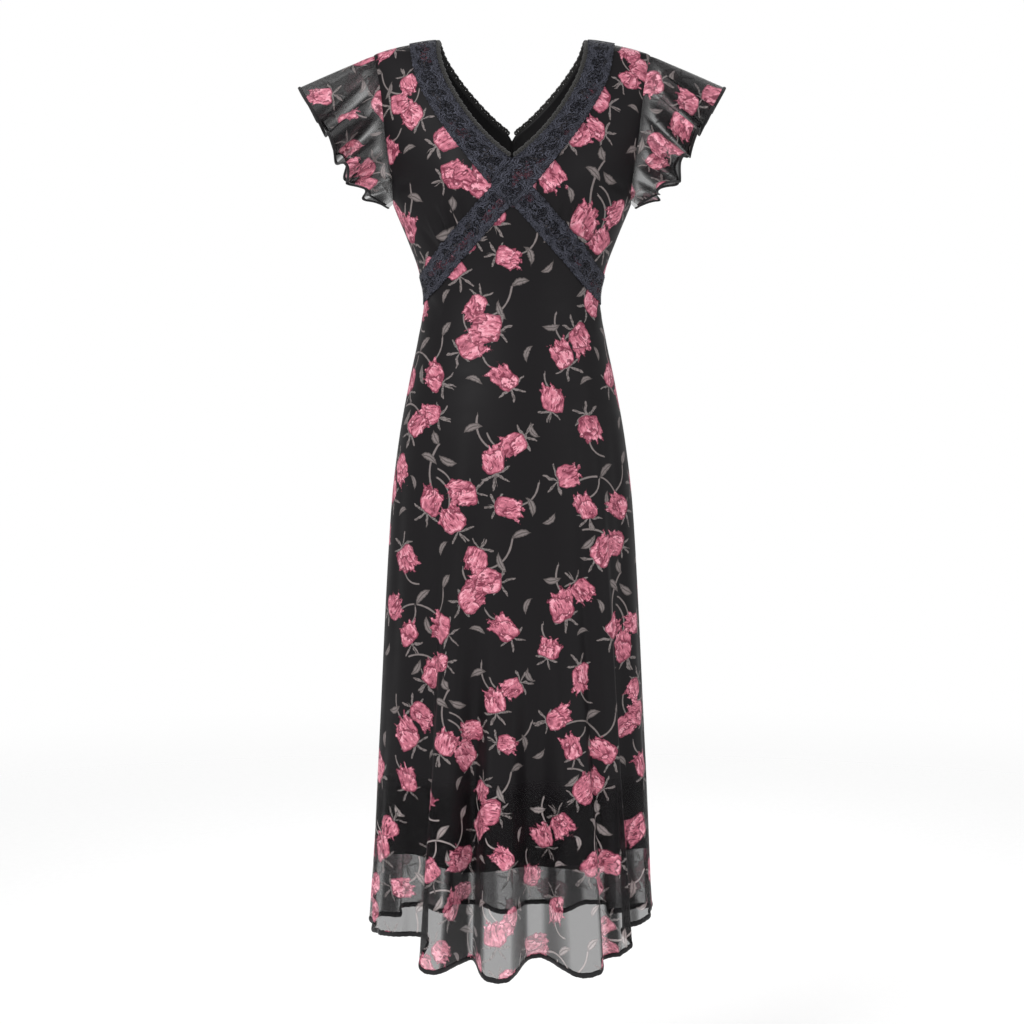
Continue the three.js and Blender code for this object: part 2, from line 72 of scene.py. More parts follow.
sections = table("z half front back", [  # half the width, and the reach forward and back
    (0, 97, 10, 10),
    (-4, 122, 21, 21),
    (-9, 147, 32, 32),
    (-14, 165, 39, 39),
    (-19, 177, 45, 46),
    (-43, 181, 62, 64),
    (-77, 182, 80, 79),
    (-114, 180, 94, 87),
    (-144, 174, 102, 89),
    (-182, 162, 106, 88),
    (-209, 153, 104, 86),
    (-254, 134.5, 95, 81),
    (-293, 120.5, 87, 77),
    (-331, 113.5, 84, 77),
    (-382, 121.5, 88, 86),
    (-434, 132.5, 95, 98),
    (-511, 146.5, 102, 110),
    (-589, 156, 105, 112),
    (-694, 163, 103, 110),
    (-851, 171, 96, 105),
    (-1010, 179, 87, 100),
    (-1180, 186, 77, 94),
])

cup = {"x": 74, "z": -172, "reach": 9, "across": 44, "up": 52}

flutes = table("turn reach width top lean", [  # soft cones that open towards the hem, leaning over one flank
    (4, 18, 42, -560, 0),
    (-26, 65, 10.5, -640, -10),
    (-4.5, 66, 11.5, -740, -2),
    (24.5, 60, 14, -700, 6),
    (42, 40, 9, -560, 8),
    (-58, 9, 15, -680, 0),
    (66, 8, 13, -620, 0),
    (118, 30, 13, -640, 5),
    (146, 48, 12, -700, 4),
    (171, 52, 11, -740, -2),
    (197, 50, 12, -690, 3),
    (223, 42, 12, -660, -6),
    (247, 22, 12, -640, -4),
])
fluteCrest, fluteGrowth = 0.3, 1.35

hemLine = table("turn z", [
    (-180, -1160),
    (-130, -1153),
    (-90, -1157),
    (-60, -1152),
    (-40, -1150),
    (-26, -1177),
    (-15, -1172),
    (-4, -1182),
    (10, -1168),
    (24, -1180),
    (41, -1162),
    (56, -1141),
    (90, -1128),
    (130, -1150),
    (180, -1160),
])

frontNeck = table("z x", [
    (0, 97),
    (-20, 95.5),
    (-48, 88),
    (-83, 70.5),
    (-114, 49),
    (-137, 28),
    (-151, 12),
    (-160, 0),
])

backNeck = table("z x", [
    (0, 97),
    (-16, 91),
    (-42, 74),
    (-68, 52),
    (-94, 26),
    (-115, 0),
])

underbust = table("turn z", [
    (0, -193),
    (10, -218),
    (18, -238),
    (36, -272),
    (61, -305),
    (90, -321),
])

armhole = {"top": -19, "bottom": -209, "open": 26, "roundness": 0.8}
centreSeamSpan = 34  # below the point of the V


def track(rows, key, column):  # a smooth curve through one column of a table
    ordered = sorted(rows, key=lambda row: row[key])
    at = np.array([row[key] for row in ordered], float)
    values = np.array([row[column] for row in ordered], float)
    slopes = np.diff(values) / np.diff(at)
    before = np.concatenate([slopes[:1], slopes])
    after = np.concatenate([slopes, slopes[-1:]])
    product, total = before * after, before + after
    safe = np.where(product > 0, total, 1)
    tangents = np.where(product > 0, 2 * product / safe, 0)

    def value(place):
        place = np.clip(place, at[0], at[-1])
        i = np.clip(np.searchsorted(at, place, side="right") - 1, 0, len(at) - 2)
        span = at[i + 1] - at[i]
        t = (place - at[i]) / span
        ease = t * t * (3 - 2 * t)
        bend = t * (1 - t) * span
        straight = values[i] + (values[i + 1] - values[i]) * ease
        return straight + bend * ((1 - t) * tangents[i] - t * tangents[i + 1])

    return value


def bump(offset, width, crest=0.0):  # 1 in the middle, falling to 0 at the width
    t = np.clip((np.abs(offset) / width - crest) / (1 - crest), 0, 1)
    return 0.5 + 0.5 * np.cos(np.pi * t)


def smooth(value, low, high):  # 0 at low, 1 at high
    t = np.clip((value - low) / (high - low), 0, 1)
    return t * t * (3 - 2 * t)


def wrap(turn):
    return (np.asarray(turn) + 180) % 360 - 180


halfAt = track(sections, "z", "half")
frontAt = track(sections, "z", "front")
backAt = track(sections, "z", "back")
frontNeckX = track(frontNeck, "z", "x")
backNeckX = track(backNeck, "z", "x")
underbustZ = track(underbust, "turn", "z")
underbustTurn = track(underbust, "z", "turn")
hemTrack = track(hemLine, "turn", "z")


def hemZ(turn):
    return hemTrack(wrap(turn))


def plainPoint(turn, z):
    angle = np.radians(turn)
    forward = np.cos(angle)
    reach = np.where(forward > 0, frontAt(z), backAt(z))
    return np.stack([halfAt(z) * np.sin(angle), -reach * forward, z + 0 * angle], axis=-1)


def figurePoint(turn, z):
    point = plainPoint(turn, z)
    forward = np.clip(np.cos(np.radians(turn)), 0, 1)
    across = (np.abs(point[..., 0]) - cup["x"]) / cup["across"]
    up = (z - cup["z"]) / cup["up"]
    point[..., 1] -= cup["reach"] * np.exp(-across**2 - up**2) * np.sqrt(forward)
    return point


def unit(vectors):
    return vectors / np.maximum(np.linalg.norm(vectors, axis=-1, keepdims=True), 1e-9)


def runAlong(points):  # the distance travelled down a row of points
    return np.concatenate([[0], np.cumsum(np.linalg.norm(np.diff(points, axis=0), axis=-1))])


def directions(place, turn, z, step=0.5):  # how far a point moves for 1 of turn, and for 1 of z
    return place(turn + step, z) - place(turn - step, z), place(turn, z + step) - place(turn, z - step)


def outward(place, turn, z):
    return unit(np.cross(*directions(place, turn, z)))


def clothPoint(turn, z):
    reach, lean = 0.0 * (turn + z), 0.0 * (turn + z)
    for flute in flutes:
        hang = np.clip((flute["top"] - z) / (flute["top"] - hemZ(flute["turn"])), 0, None)
        share = bump(wrap(turn - flute["turn"]), flute["width"], fluteCrest) * hang**fluteGrowth
        reach = reach + flute["reach"] * share
        lean = lean + flute["lean"] * share
    out = outward(figurePoint, turn, z)
    out[..., 2] = 0
    out = unit(out)
    along = np.stack([-out[..., 1], out[..., 0], 0 * reach], axis=-1)
    return figurePoint(turn, z) + out * reach[..., None] + along * lean[..., None]


# Soft creases, each a ridge (deep above 0) or trough between two places.
creases = table("turn z toTurn toZ deep wide", [
    # gathers under the left cup, fanning up from the lace
    (26, -252, 25, -206, -4, 2.9),
    (29, -258, 29, -200, 3.8, 2.7),
    (32, -262, 33.5, -206, -4.6, 2.7),
    (35, -267, 38.5, -214, 4, 2.9),
    (38, -270, 43, -222, -3.8, 2.9),
    (41, -273, 49, -236, 3, 3.1),
    (45, -279, 56, -246, -2.4, 3.4),
    # and the right cup, a little higher
    (-25, -250, -23.5, -202, -3.5, 2.9),
    (-28, -256, -27, -196, 3.5, 2.9),
    (-31.5, -261, -32, -205, -5, 2.9),
    (-34.5, -266, -36.5, -208, 4.3, 2.7),
    (-37.5, -269, -41, -216, -3.8, 3.1),
    (-41, -273, -47, -230, 3.2, 3.2),
    (-45, -278, -55, -243, -2.4, 3.4),
    # drag lines from the armholes
    (66, -196, 46, -182, -2.1, 6),
    (70, -216, 50, -214, 1.7, 6),
    (-66, -192, -44, -180, -2.1, 6),
    (-70, -214, -52, -216, 1.5, 6),
    # soft pulls round the waist, front and back
    (84, -316, 52, -344, -2, 7),
    (86, -344, 58, -366, 1.7, 8),
    (-84, -318, -50, -350, -2, 7),
    (-86, -348, -56, -372, 1.5, 8),
    (98, -306, 138, -322, -2.4, 8),
    (100, -334, 150, -342, 2.1, 9),
    (96, -356, 140, -372, -2, 9),
    (262, -308, 224, -326, -2.4, 8),
    (260, -338, 212, -346, 2, 9),
    (264, -360, 222, -378, -1.8, 9),
    # long soft folds above the flutes
    (-24, -470, -26, -900, 3.2, 15),
    (-37, -520, -38, -1000, -3.0, 13),
    (-14, -560, -15, -980, -2.6, 13),
    (12, -540, 12, -960, -2.4, 14),
    (36, -430, 34, -980, -2.8, 11),
    (46, -420, 44, -920, 3.0, 12),
    (62, -480, 56, -980, -2.6, 12),
    (-66, -520, -64, -980, -2.2, 14),
    (130, -560, 132, -980, -3.0, 15),
    (158, -520, 158, -980, -2.8, 14),
    (184, -540, 184, -980, -2.8, 14),
    (210, -520, 210, -980, -2.8, 14),
    (235, -560, 235, -980, -2.6, 14),
    # across the back of the shoulders
    (116, -150, 140, -168, -2.2, 7),
    (118, -182, 146, -196, 1.8, 8),
    (244, -152, 220, -170, -2.2, 7),
    (242, -184, 214, -198, 1.8, 8),
])
creaseReach = 40  # beyond it a crease is flat
creaseEnd, creaseTaper = 0.02, 0.6
seamTrough = {"deep": -0.9, "wide": 2.2}  # at the side and centre back seams


def creaseHeight(turn, z):
    height = 0.0 * (turn + z)
    perTurn = 2 * np.pi / 360 * (halfAt(z) + frontAt(z)) / 2
    for crease in creases:
        mid = (crease["turn"] + crease["toTurn"]) / 2
        ax, ay = crease["turn"] - mid, crease["z"]
        bx, by = crease["toTurn"] - mid, crease["toZ"]
        away = wrap(turn - mid)
        near = (np.abs(away) < creaseReach) & (z < max(ay, by) + creaseReach)
        near &= z > min(ay, by) - creaseReach
        if not near.any():
            continue
        px, scale = away * perTurn, perTurn
        dx, dy = (bx - ax) * scale, by - ay
        along = ((px - ax * scale) * dx + (z - ay) * dy) / (dx**2 + dy**2)
        held = np.clip(along, 0, 1)
        off = np.hypot(px - (ax * scale + held * dx), z - (ay + held * dy))
        taper = np.sin(np.pi * np.clip(held, creaseEnd, 1 - creaseEnd)) ** creaseTaper
        height += np.where(near, crease["deep"] * taper * np.exp(-((off / crease["wide"]) ** 2)), 0)
    for seamTurn in (90, 180, 270):
        off = wrap(turn - seamTurn) * perTurn
        height += seamTrough["deep"] * np.exp(-((off / seamTrough["wide"]) ** 2))
    return height


def dressPoint(turn, z):
    return clothPoint(turn, z) + outward(clothPoint, turn, z) * creaseHeight(turn, z)[..., None]


def frontTurn(x, z):
    return np.degrees(np.arcsin(np.clip(x / halfAt(z), -1, 1)))


def backTurn(x, z):
    return 180 - frontTurn(x, z)


def armholeOpen(z):
    t = np.clip((armhole["top"] - z) / (armhole["top"] - armhole["bottom"]), 0, 1)
    return armhole["open"] * (2 * np.sqrt(t * (1 - t))) ** armhole["roundness"]


def gridFaces(rows, columns):
    i = np.arange(rows - 1)[:, None]
    j = np.arange(columns - 1)[None, :]
    corner = i * columns + j
    quads = np.stack([corner, corner + columns, corner + columns + 1, corner + 1], axis=-1)
    return quads.reshape(-1, 4)


def awayFromAxis(points):
    return points * np.array([1.0, 1.0, 0.0])


def pickOnly(piece):
    bpy.ops.object.select_all(action="DESELECT")
    piece.select_set(True)
    bpy.context.view_layer.objects.active = piece


def inEditMode(piece, operator, **settings):  # runs it on the whole mesh
    pickOnly(piece)
    bpy.ops.object.mode_set(mode="EDIT")
    bpy.ops.mesh.select_all(action="SELECT")
    operator(**settings)
    bpy.ops.object.mode_set(mode="OBJECT")


def fill(layer, field, values):
    layer.data.foreach_set(field, values.astype(np.float32).ravel())


def addMesh(name, points, faces):
    mesh = bpy.data.meshes.new(name)
    mesh.from_pydata((points.reshape(-1, 3) * mm).tolist(), [], faces)
    piece = bpy.data.objects.new(name, mesh)
    bpy.context.collection.objects.link(piece)
    return piece


def makeSheet(name, points, outside):  # one layer, its faces turned outside
    corners = points.reshape(-1, 3)
    faces = gridFaces(*points.shape[:2])
    a, b, c, d = (corners[faces[:, k]] for k in range(4))
    facing = np.cross(c - a, d - b)
    if (facing * outside((a + b + c + d) / 4)).sum() < 0:
        faces = faces[:, ::-1].copy()
    return addMesh(name, points, faces.tolist()), faces


def sheetArea(points):  # in square millimetres
    a, b, c, d = points[:-1, :-1], points[1:, :-1], points[1:, 1:], points[:-1, 1:]
    return np.linalg.norm(np.cross(c - a, d - b), axis=-1).sum() / 2


def layFlat(piece, points):
    # Unwraps the sheet, then turns and scales its map to millimetres of cloth, up and down the grain.
    across, down = np.zeros(points.shape[:2]), np.zeros(points.shape[:2])
    across[:, 1:] = np.cumsum(np.linalg.norm(np.diff(points, axis=1), axis=-1), axis=1)
    across -= across[:, -1:] / 2
    down[1:] = np.cumsum(np.linalg.norm(np.diff(points, axis=0), axis=-1), axis=0)
    mesh = piece.data
    mesh.uv_layers.new(name="cloth")
    inEditMode(piece, bpy.ops.uv.unwrap, method="CONFORMAL", margin=0)
    corners = np.empty(len(mesh.loops), np.int32)
    mesh.loops.foreach_get("vertex_index", corners)
    layout = np.empty(len(mesh.loops) * 2, np.float32)
    mesh.uv_layers["cloth"].data.foreach_get("uv", layout)
    layout = layout.reshape(-1, 2).astype(float)
    guide = across.reshape(-1)[corners] - 1j * down.reshape(-1)[corners]
    guide -= guide.mean()
    flat = layout[:, 0] + 1j * layout[:, 1]
    flat -= flat.mean()
    plainFit, flippedFit = (guide * flat.conj()).sum(), (guide * flat).sum()
    if abs(flippedFit) > abs(plainFit):
        flat, plainFit = flat.conj(), flippedFit
    flat *= plainFit / abs(plainFit)
    quads = np.stack([flat.real, flat.imag], axis=-1).reshape(-1, 4, 2)
    d1, d2 = quads[:, 2] - quads[:, 0], quads[:, 3] - quads[:, 1]
    flatArea = np.abs(d1[:, 0] * d2[:, 1] - d1[:, 1] * d2[:, 0]).sum() / 2
    quads *= math.sqrt(sheetArea(points) / flatArea)
    fill(mesh.uv_layers["cloth"], "uv", quads * mm)
    return quads


def thicken(piece, wall, coats):  # a second face inside, with the second material if there is one
    for coat in coats:
        piece.data.materials.append(coat)
    pickOnly(piece)
    shell = piece.modifiers.new("thickness", "SOLIDIFY")
    shell.thickness = wall * mm
    shell.offset = -1
    shell.material_offset = len(coats) - 1
    bpy.ops.object.modifier_apply(modifier=shell.name)
    bpy.ops.object.shade_smooth()


# The flutes are open at flutedZ, and columns follow them by the share follow.
spacing = {"rowSteps": 900, "turnSteps": 1400, "follow": 0.5, "flutedZ": -1080.0}


def evenRows(edge, top, bottom, cell):  # heights evenly spaced down an edge
    dense = np.linspace(top, bottom, spacing["rowSteps"])
    run = runAlong(figurePoint(edge(dense), dense))
    return np.interp(np.linspace(0, run[-1], int(run[-1] / cell) + 2), run, dense)


def spreadColumns(low, high, count):  # turns, closer together where the hem flutes
    dense = np.linspace(low, high, spacing["turnSteps"])
    run = runAlong(clothPoint(dense, np.full(dense.shape, spacing["flutedZ"])))
    follow = spacing["follow"]
    share = follow * run / run[-1] + (1 - follow) * (dense - low) / (high - low)
    return np.interp(np.linspace(0, 1, count), share, dense)


# One repeat of the rosebud print, in millimetres of cloth. A bud points up at turn 0.
repeat = {"wide": 250, "tall": 310, "drop": 155}

buds = table("x y turn size over", [
    (30, 66, 70, 21, True),
    (58, 28, -20, 19, False),
    (114, 32, -62, 22, True),
    (158, 70, 58, 21, False),
    (184, 92, -82, 22, True),
    (168, 122, -155, 19, False),
    (62, 128, -200, 22, False),
    (108, 190, 32, 21, False),
    (139, 168, -34, 21, True),
    (156, 202, -98, 20, False),
    (30, 212, -28, 22, True),
    (54, 238, 140, 20, False),
    (206, 184, 100, 19, False),
    (192, 238, -8, 22, True),
    (218, 262, -122, 20, False),
    (82, 284, 48, 21, True),
    (110, 298, -74, 19, False),
    (14, 156, 12, 18, False),
    (206, 28, -38, 21, False),
])

stems = table("x y toX toY bend wide", [  # bend is how far the middle stands off the straight line
    (44, 60, 104, 50, 12, 1.3),
    (62, 42, 74, 64, -4, 1.2),
    (104, 50, 120, 84, -6, 1.3),
    (170, 82, 150, 110, 6, 1.2),
    (172, 106, 214, 146, -12, 1.4),
    (60, 114, 84, 92, -7, 1.2),
    (112, 206, 122, 262, 8, 1.5),
    (134, 184, 118, 222, -8, 1.3),
    (142, 204, 120, 232, -5, 1.2),
    (36, 226, 22, 268, 8, 1.3),
    (218, 186, 246, 214, -8, 1.3),
    (190, 254, 172, 296, 8, 1.4),
    (204, 254, 184, 274, 4, 1.2),
    (96, 292, 54, 312, -9, 1.3),
    (12, 170, 4, 192, 3, 1.2),
    (200, 42, 178, 56, 5, 1.2),
])

leaves = table("x y toX toY bend wide", [
    (76, 66, 98, 83, 3, 4.9),
    (88, 50, 93, 26, -3, 4.6),
    (120, 84, 132, 101, 2, 5.1),
    (196, 128, 206, 104, -3, 4.3),
    (214, 146, 236, 153, 3, 5.1),
    (118, 238, 96, 250, -3, 4.9),
    (122, 248, 146, 238, -3, 5.1),
    (122, 262, 115, 277, 2, 5.7),
    (26, 252, 4, 250, 3, 4.6),
    (232, 196, 239, 174, 3, 4.6),
    (178, 282, 156, 275, -3, 4.9),
    (70, 306, 53, 289, 3, 4.3),
    (118, 126, 130, 143, 4, 3.8),
    (232, 50, 239, 70, 4, 3.8),
    (16, 22, 1, 10, 4, 3.8),
    (156, 30, 176, 23, 4, 3.8),
    (52, 178, 69, 185, 4, 3.5),
    (236, 286, 246, 269, -4, 3.8),
    (78, 226, 85, 209, 3, 3.5),
])
farAway = 9.0  # a print coordinate that no motif reaches


def repeatsOver(low, high, origin):  # where the repeat's corner falls over a stretch of cloth
    firstColumn = math.floor((low[0] - origin[0]) / repeat["wide"]) - 1
    lastColumn = math.ceil((high[0] - origin[0]) / repeat["wide"]) + 1
    for column in range(firstColumn, lastColumn):
        x = origin[0] + column * repeat["wide"]
        shift = origin[1] + (column % 2) * repeat["drop"]
        firstRow = math.floor((low[1] - shift) / repeat["tall"]) - 1
        for row in range(firstRow, math.ceil((high[1] - shift) / repeat["tall"]) + 1):
            yield x, shift + row * repeat["tall"]


def courseOf(stroke, steps=14):
    start = np.array([stroke["x"], stroke["y"]], float)
    end = np.array([stroke["toX"], stroke["toY"]], float)
    run = end - start
    side = np.array([-run[1], run[0]]) / np.linalg.norm(run)
    middle = (start + end) / 2 + side * stroke["bend"] * 2
    t = np.linspace(0, 1, steps)[:, None]
    return (1 - t) ** 2 * start + 2 * t * (1 - t) * middle + t**2 * end


def alongCourse(course, corners):  # share of the way along, and the signed distance off
    best = np.full(corners.shape[:-1], 1e9)
    along, off = np.zeros(corners.shape[:-1]), np.zeros(corners.shape[:-1])
    for i in range(len(course) - 1):
        a, d = course[i], course[i + 1] - course[i]
        rel = corners - a
        t = np.clip((rel @ d) / (d @ d), 0, 1)
        gap = rel - t[..., None] * d
        distance = np.linalg.norm(gap, axis=-1)
        sign = np.where(d[0] * gap[..., 1] - d[1] * gap[..., 0] < 0, -1, 1)
        nearer = distance < best
        best = np.where(nearer, distance, best)
        along = np.where(nearer, (i + t) / (len(course) - 1), along)
        off = np.where(nearer, distance * sign, off)
    return along, off


# How far past a cloth's edge motifs are still laid, and how far round a motif faces are looked at.
printReach = {"bud": 40, "stroke": 20, "spare": 12, "budEdge": 1.5}


def layPrint(piece, faces, corners, origin):  # writes each motif's own coordinates on the faces it touches
    middle = corners.mean(axis=1)
    cell = np.linalg.norm(corners - middle[:, None], axis=-1).max(axis=1)
    low, high = corners.reshape(-1, 2).min(axis=0), corners.reshape(-1, 2).max(axis=0)
    shape = (*corners.shape[:2], 3)
    places = {name: np.full(shape, farAway) for name in ("budA", "budB", "stem", "leaf")}
    gaps = {name: np.full(len(faces), 1e9) for name in places}
    for x0, y0 in repeatsOver(low - printReach["bud"], high + printReach["bud"], origin):
        for number, bud in enumerate(buds):
            place = np.array([x0 + bud["x"], y0 + bud["y"]])
            if (place < low - printReach["bud"]).any() or (place > high + printReach["bud"]).any():
                continue
            layer = "budB" if bud["over"] else "budA"
            gap = np.linalg.norm(middle - place, axis=1) / bud["size"]
            mine = (gap < printReach["budEdge"] + cell / bud["size"]) & (gap < gaps[layer])
            angle = math.radians(bud["turn"])
            rel = (corners[mine] - place) / bud["size"]
            across = rel[..., 0] * math.cos(angle) - rel[..., 1] * math.sin(angle)
            up = rel[..., 0] * math.sin(angle) + rel[..., 1] * math.cos(angle)
            seed = (number * 0.37 + (x0 + 2 * y0) / 997) % 1 + 0.05
            places[layer][mine] = np.stack([across, up, 0 * up + seed], axis=-1)
            gaps[layer][mine] = gap[mine]
        for layer, strokes in (("stem", stems), ("leaf", leaves)):
            for stroke in strokes:
                course = courseOf(stroke) + np.array([x0, y0])
                before, after = course.max(axis=0) - low, high - course.min(axis=0)
                if min(before.min(), after.min()) < -printReach["stroke"]:
                    continue
                reach = np.ptp(course, axis=0).max() / 2 + printReach["spare"]
                index = np.nonzero(np.abs(middle - course.mean(axis=0)).max(axis=1) < reach)[0]
                if not len(index):
                    continue
                along, off = alongCourse(course, corners[index])
                nearest = np.abs(off).min(axis=1)
                mine = (nearest < stroke["wide"] + cell[index]) & (nearest < gaps[layer][index])
                chosen = index[mine]
                told = np.stack([along, off / stroke["wide"], 0 * off + along + y0 % 7], axis=-1)
                places[layer][chosen] = told[mine]
                gaps[layer][chosen] = nearest[mine]
    for name, values in places.items():
        fill(piece.data.attributes.new(name, "FLOAT_VECTOR", "CORNER"), "vector", values)


# Colours are linear.
inks = {
    "black": (0.0065, 0.0055, 0.0065),
    "blackLit": (0.012, 0.011, 0.012),
    "petalDark": (0.38, 0.11, 0.158),
    "petalMid": (0.66, 0.2, 0.275),
    "petalLight": (0.95, 0.43, 0.52),
    "petalLine": (0.16, 0.02, 0.045),
    "leafDark": (0.08, 0.068, 0.066),
    "leafMid": (0.18, 0.153, 0.15),
    "leafLight": (0.29, 0.25, 0.245),
    "liningDark": (0.006, 0.0055, 0.006),
    "liningLit": (0.011, 0.0105, 0.0115),
    "hem": (0.008, 0.0075, 0.0085),
    "picot": (0.03, 0.029, 0.028),
}
# How much each chiffon hides: its plain film, its ink and its folds, where the film is made denser and darker
# as painted shade. Above the height closeAbove the black lining is close behind, so the two read as one black
# cloth. Where nothing dark is behind, the ink colour is brightened as a painted glow of light coming through
# from behind.
lined = {"sheerBelow": -990, "closeAbove": -930, "closedPrint": 0.83, "gloss": 0.13, "sheen": 0.008,
         "petalGlow": 0.3, "leafGlow": 1.0}
films = {
    "front": {"alpha": 0.43, "printAlpha": 0.66, "foldShadeAlpha": 0.7, **lined},
    "back": {"alpha": 0.3, "printAlpha": 0.66, "foldShadeAlpha": 0.6, **lined},
    "sleeve": {"alpha": 0.27, "printAlpha": 0.76, "foldShadeAlpha": 0.58, "petalGlow": 0.16, "leafGlow": 0.3,
               "gloss": 0.22, "sheen": 0.04},
}


class NodeDesk:  # adds nodes to one tree and wires what it is given
    def __init__(self, tree):
        self.tree = tree

    def add(self, kind, **settings):
        node = self.tree.nodes.new(kind)
        for key, value in settings.items():
            setattr(node, key, value)
        return node

    def feed(self, socket, value):
        if isinstance(value, bpy.types.NodeSocket):
            self.tree.links.new(value, socket)
        elif value is not None:
            socket.default_value = value

    def feedAll(self, node, values):
        for label, value in values.items():
            self.feed(node.inputs[label], value)

    def fed(self, kind, values, **settings):  # a node with its inputs fed in order
        node = self.add(kind, **settings)
        for socket, value in zip(node.inputs, values):
            self.feed(socket, value)
        return node.outputs[0]

    def step(self, value, low, high, first=0.0, last=1.0):  # a smooth step
        given = (value, low, high, first, last)
        return self.fed("ShaderNodeMapRange", given, interpolation_type="SMOOTHSTEP")

    def mix(self, share, first, second):
        node = self.add("ShaderNodeMix", data_type="RGBA")
        self.feed(node.inputs["Factor"], share)
        for socket, value in zip((node.inputs[6], node.inputs[7]), (first, second)):
            self.feed(socket, (*value, 1) if isinstance(value, tuple) else value)
        return node.outputs[2]

    def noise(self, vector, scale, detail=2.0, roughness=0.5, wanted="Fac"):
        node = self.add("ShaderNodeTexNoise")
        self.feedAll(node, {"Vector": vector, "Scale": scale, "Detail": detail, "Roughness": roughness})
        return node.outputs[wanted]

    def vector(self, operation, *values):
        return self.fed("ShaderNodeVectorMath", values, operation=operation)

    def scaled(self, vector, amount):
        node = self.add("ShaderNodeVectorMath", operation="SCALE")
        self.feed(node.inputs[0], vector)
        self.feed(node.inputs["Scale"], amount)
        return node.outputs[0]

    def dimmed(self, colour, share):
        return self.vector("MULTIPLY", colour, self.joined(share, share, share))

    def shaken(self, vector, spot, scale, amount, detail=2.0):  # moved about by the noise at a spot
        noise = self.noise(spot, scale, detail=detail, wanted="Color")
        noise = self.vector("SUBTRACT", noise, (0.5, 0.5, 0.5))
        return self.vector("ADD", vector, self.scaled(noise, amount))

    def parts(self, vector):
        node = self.add("ShaderNodeSeparateXYZ")
        self.feed(node.inputs[0], vector)
        return node.outputs

    def joined(self, x, y, z=0.0):
        return self.fed("ShaderNodeCombineXYZ", (x, y, z))

    def reach(self, x, y):
        return self.root(self.plus(self.times(x, x), self.times(y, y)))

    def gap(self, value, target):
        return self.size(self.minus(value, target))

    def attribute(self, name, wanted="Vector"):
        return self.add("ShaderNodeAttribute", attribute_name=name).outputs[wanted]

    def objectPlace(self):
        return self.add("ShaderNodeTexCoord").outputs["Object"]

    def clothMap(self):
        return self.add("ShaderNodeUVMap", uv_map="cloth").outputs["UV"]

    def group(self, name, **values):
        node = self.add("ShaderNodeGroup", node_tree=groups[name])
        self.feedAll(node, values)
        return node.outputs


def mathWord(operation):
    def word(self, *values, clamp=False):
        return self.fed("ShaderNodeMath", values, operation=operation, use_clamp=clamp)

    return word


mathWords = {  # fit is the first times the second, plus the third
    "plus": "ADD", "minus": "SUBTRACT", "times": "MULTIPLY", "over": "DIVIDE", "fit": "MULTIPLY_ADD",
    "least": "MINIMUM", "most": "MAXIMUM", "size": "ABSOLUTE", "power": "POWER", "root": "SQRT",
    "fraction": "FRACT", "sine": "SINE", "cosine": "COSINE", "bearing": "ARCTAN2",
}
for word, operation in mathWords.items():
    setattr(NodeDesk, word, mathWord(operation))


def newGroup(name, place, numbers, outputs):  # one vector and some numbers in, only numbers out
    tree = bpy.data.node_groups.new(name, "ShaderNodeTree")
    tree.interface.new_socket(place, in_out="INPUT", socket_type="NodeSocketVector")
    for label, value in numbers.items():
        socket = tree.interface.new_socket(label, in_out="INPUT", socket_type="NodeSocketFloat")
        socket.default_value = value
    for label in outputs.split():
        tree.interface.new_socket(label, in_out="OUTPUT", socket_type="NodeSocketFloat")
    desk = NodeDesk(tree)
    return tree, desk, desk.add("NodeGroupInput").outputs, desk.add("NodeGroupOutput").inputs


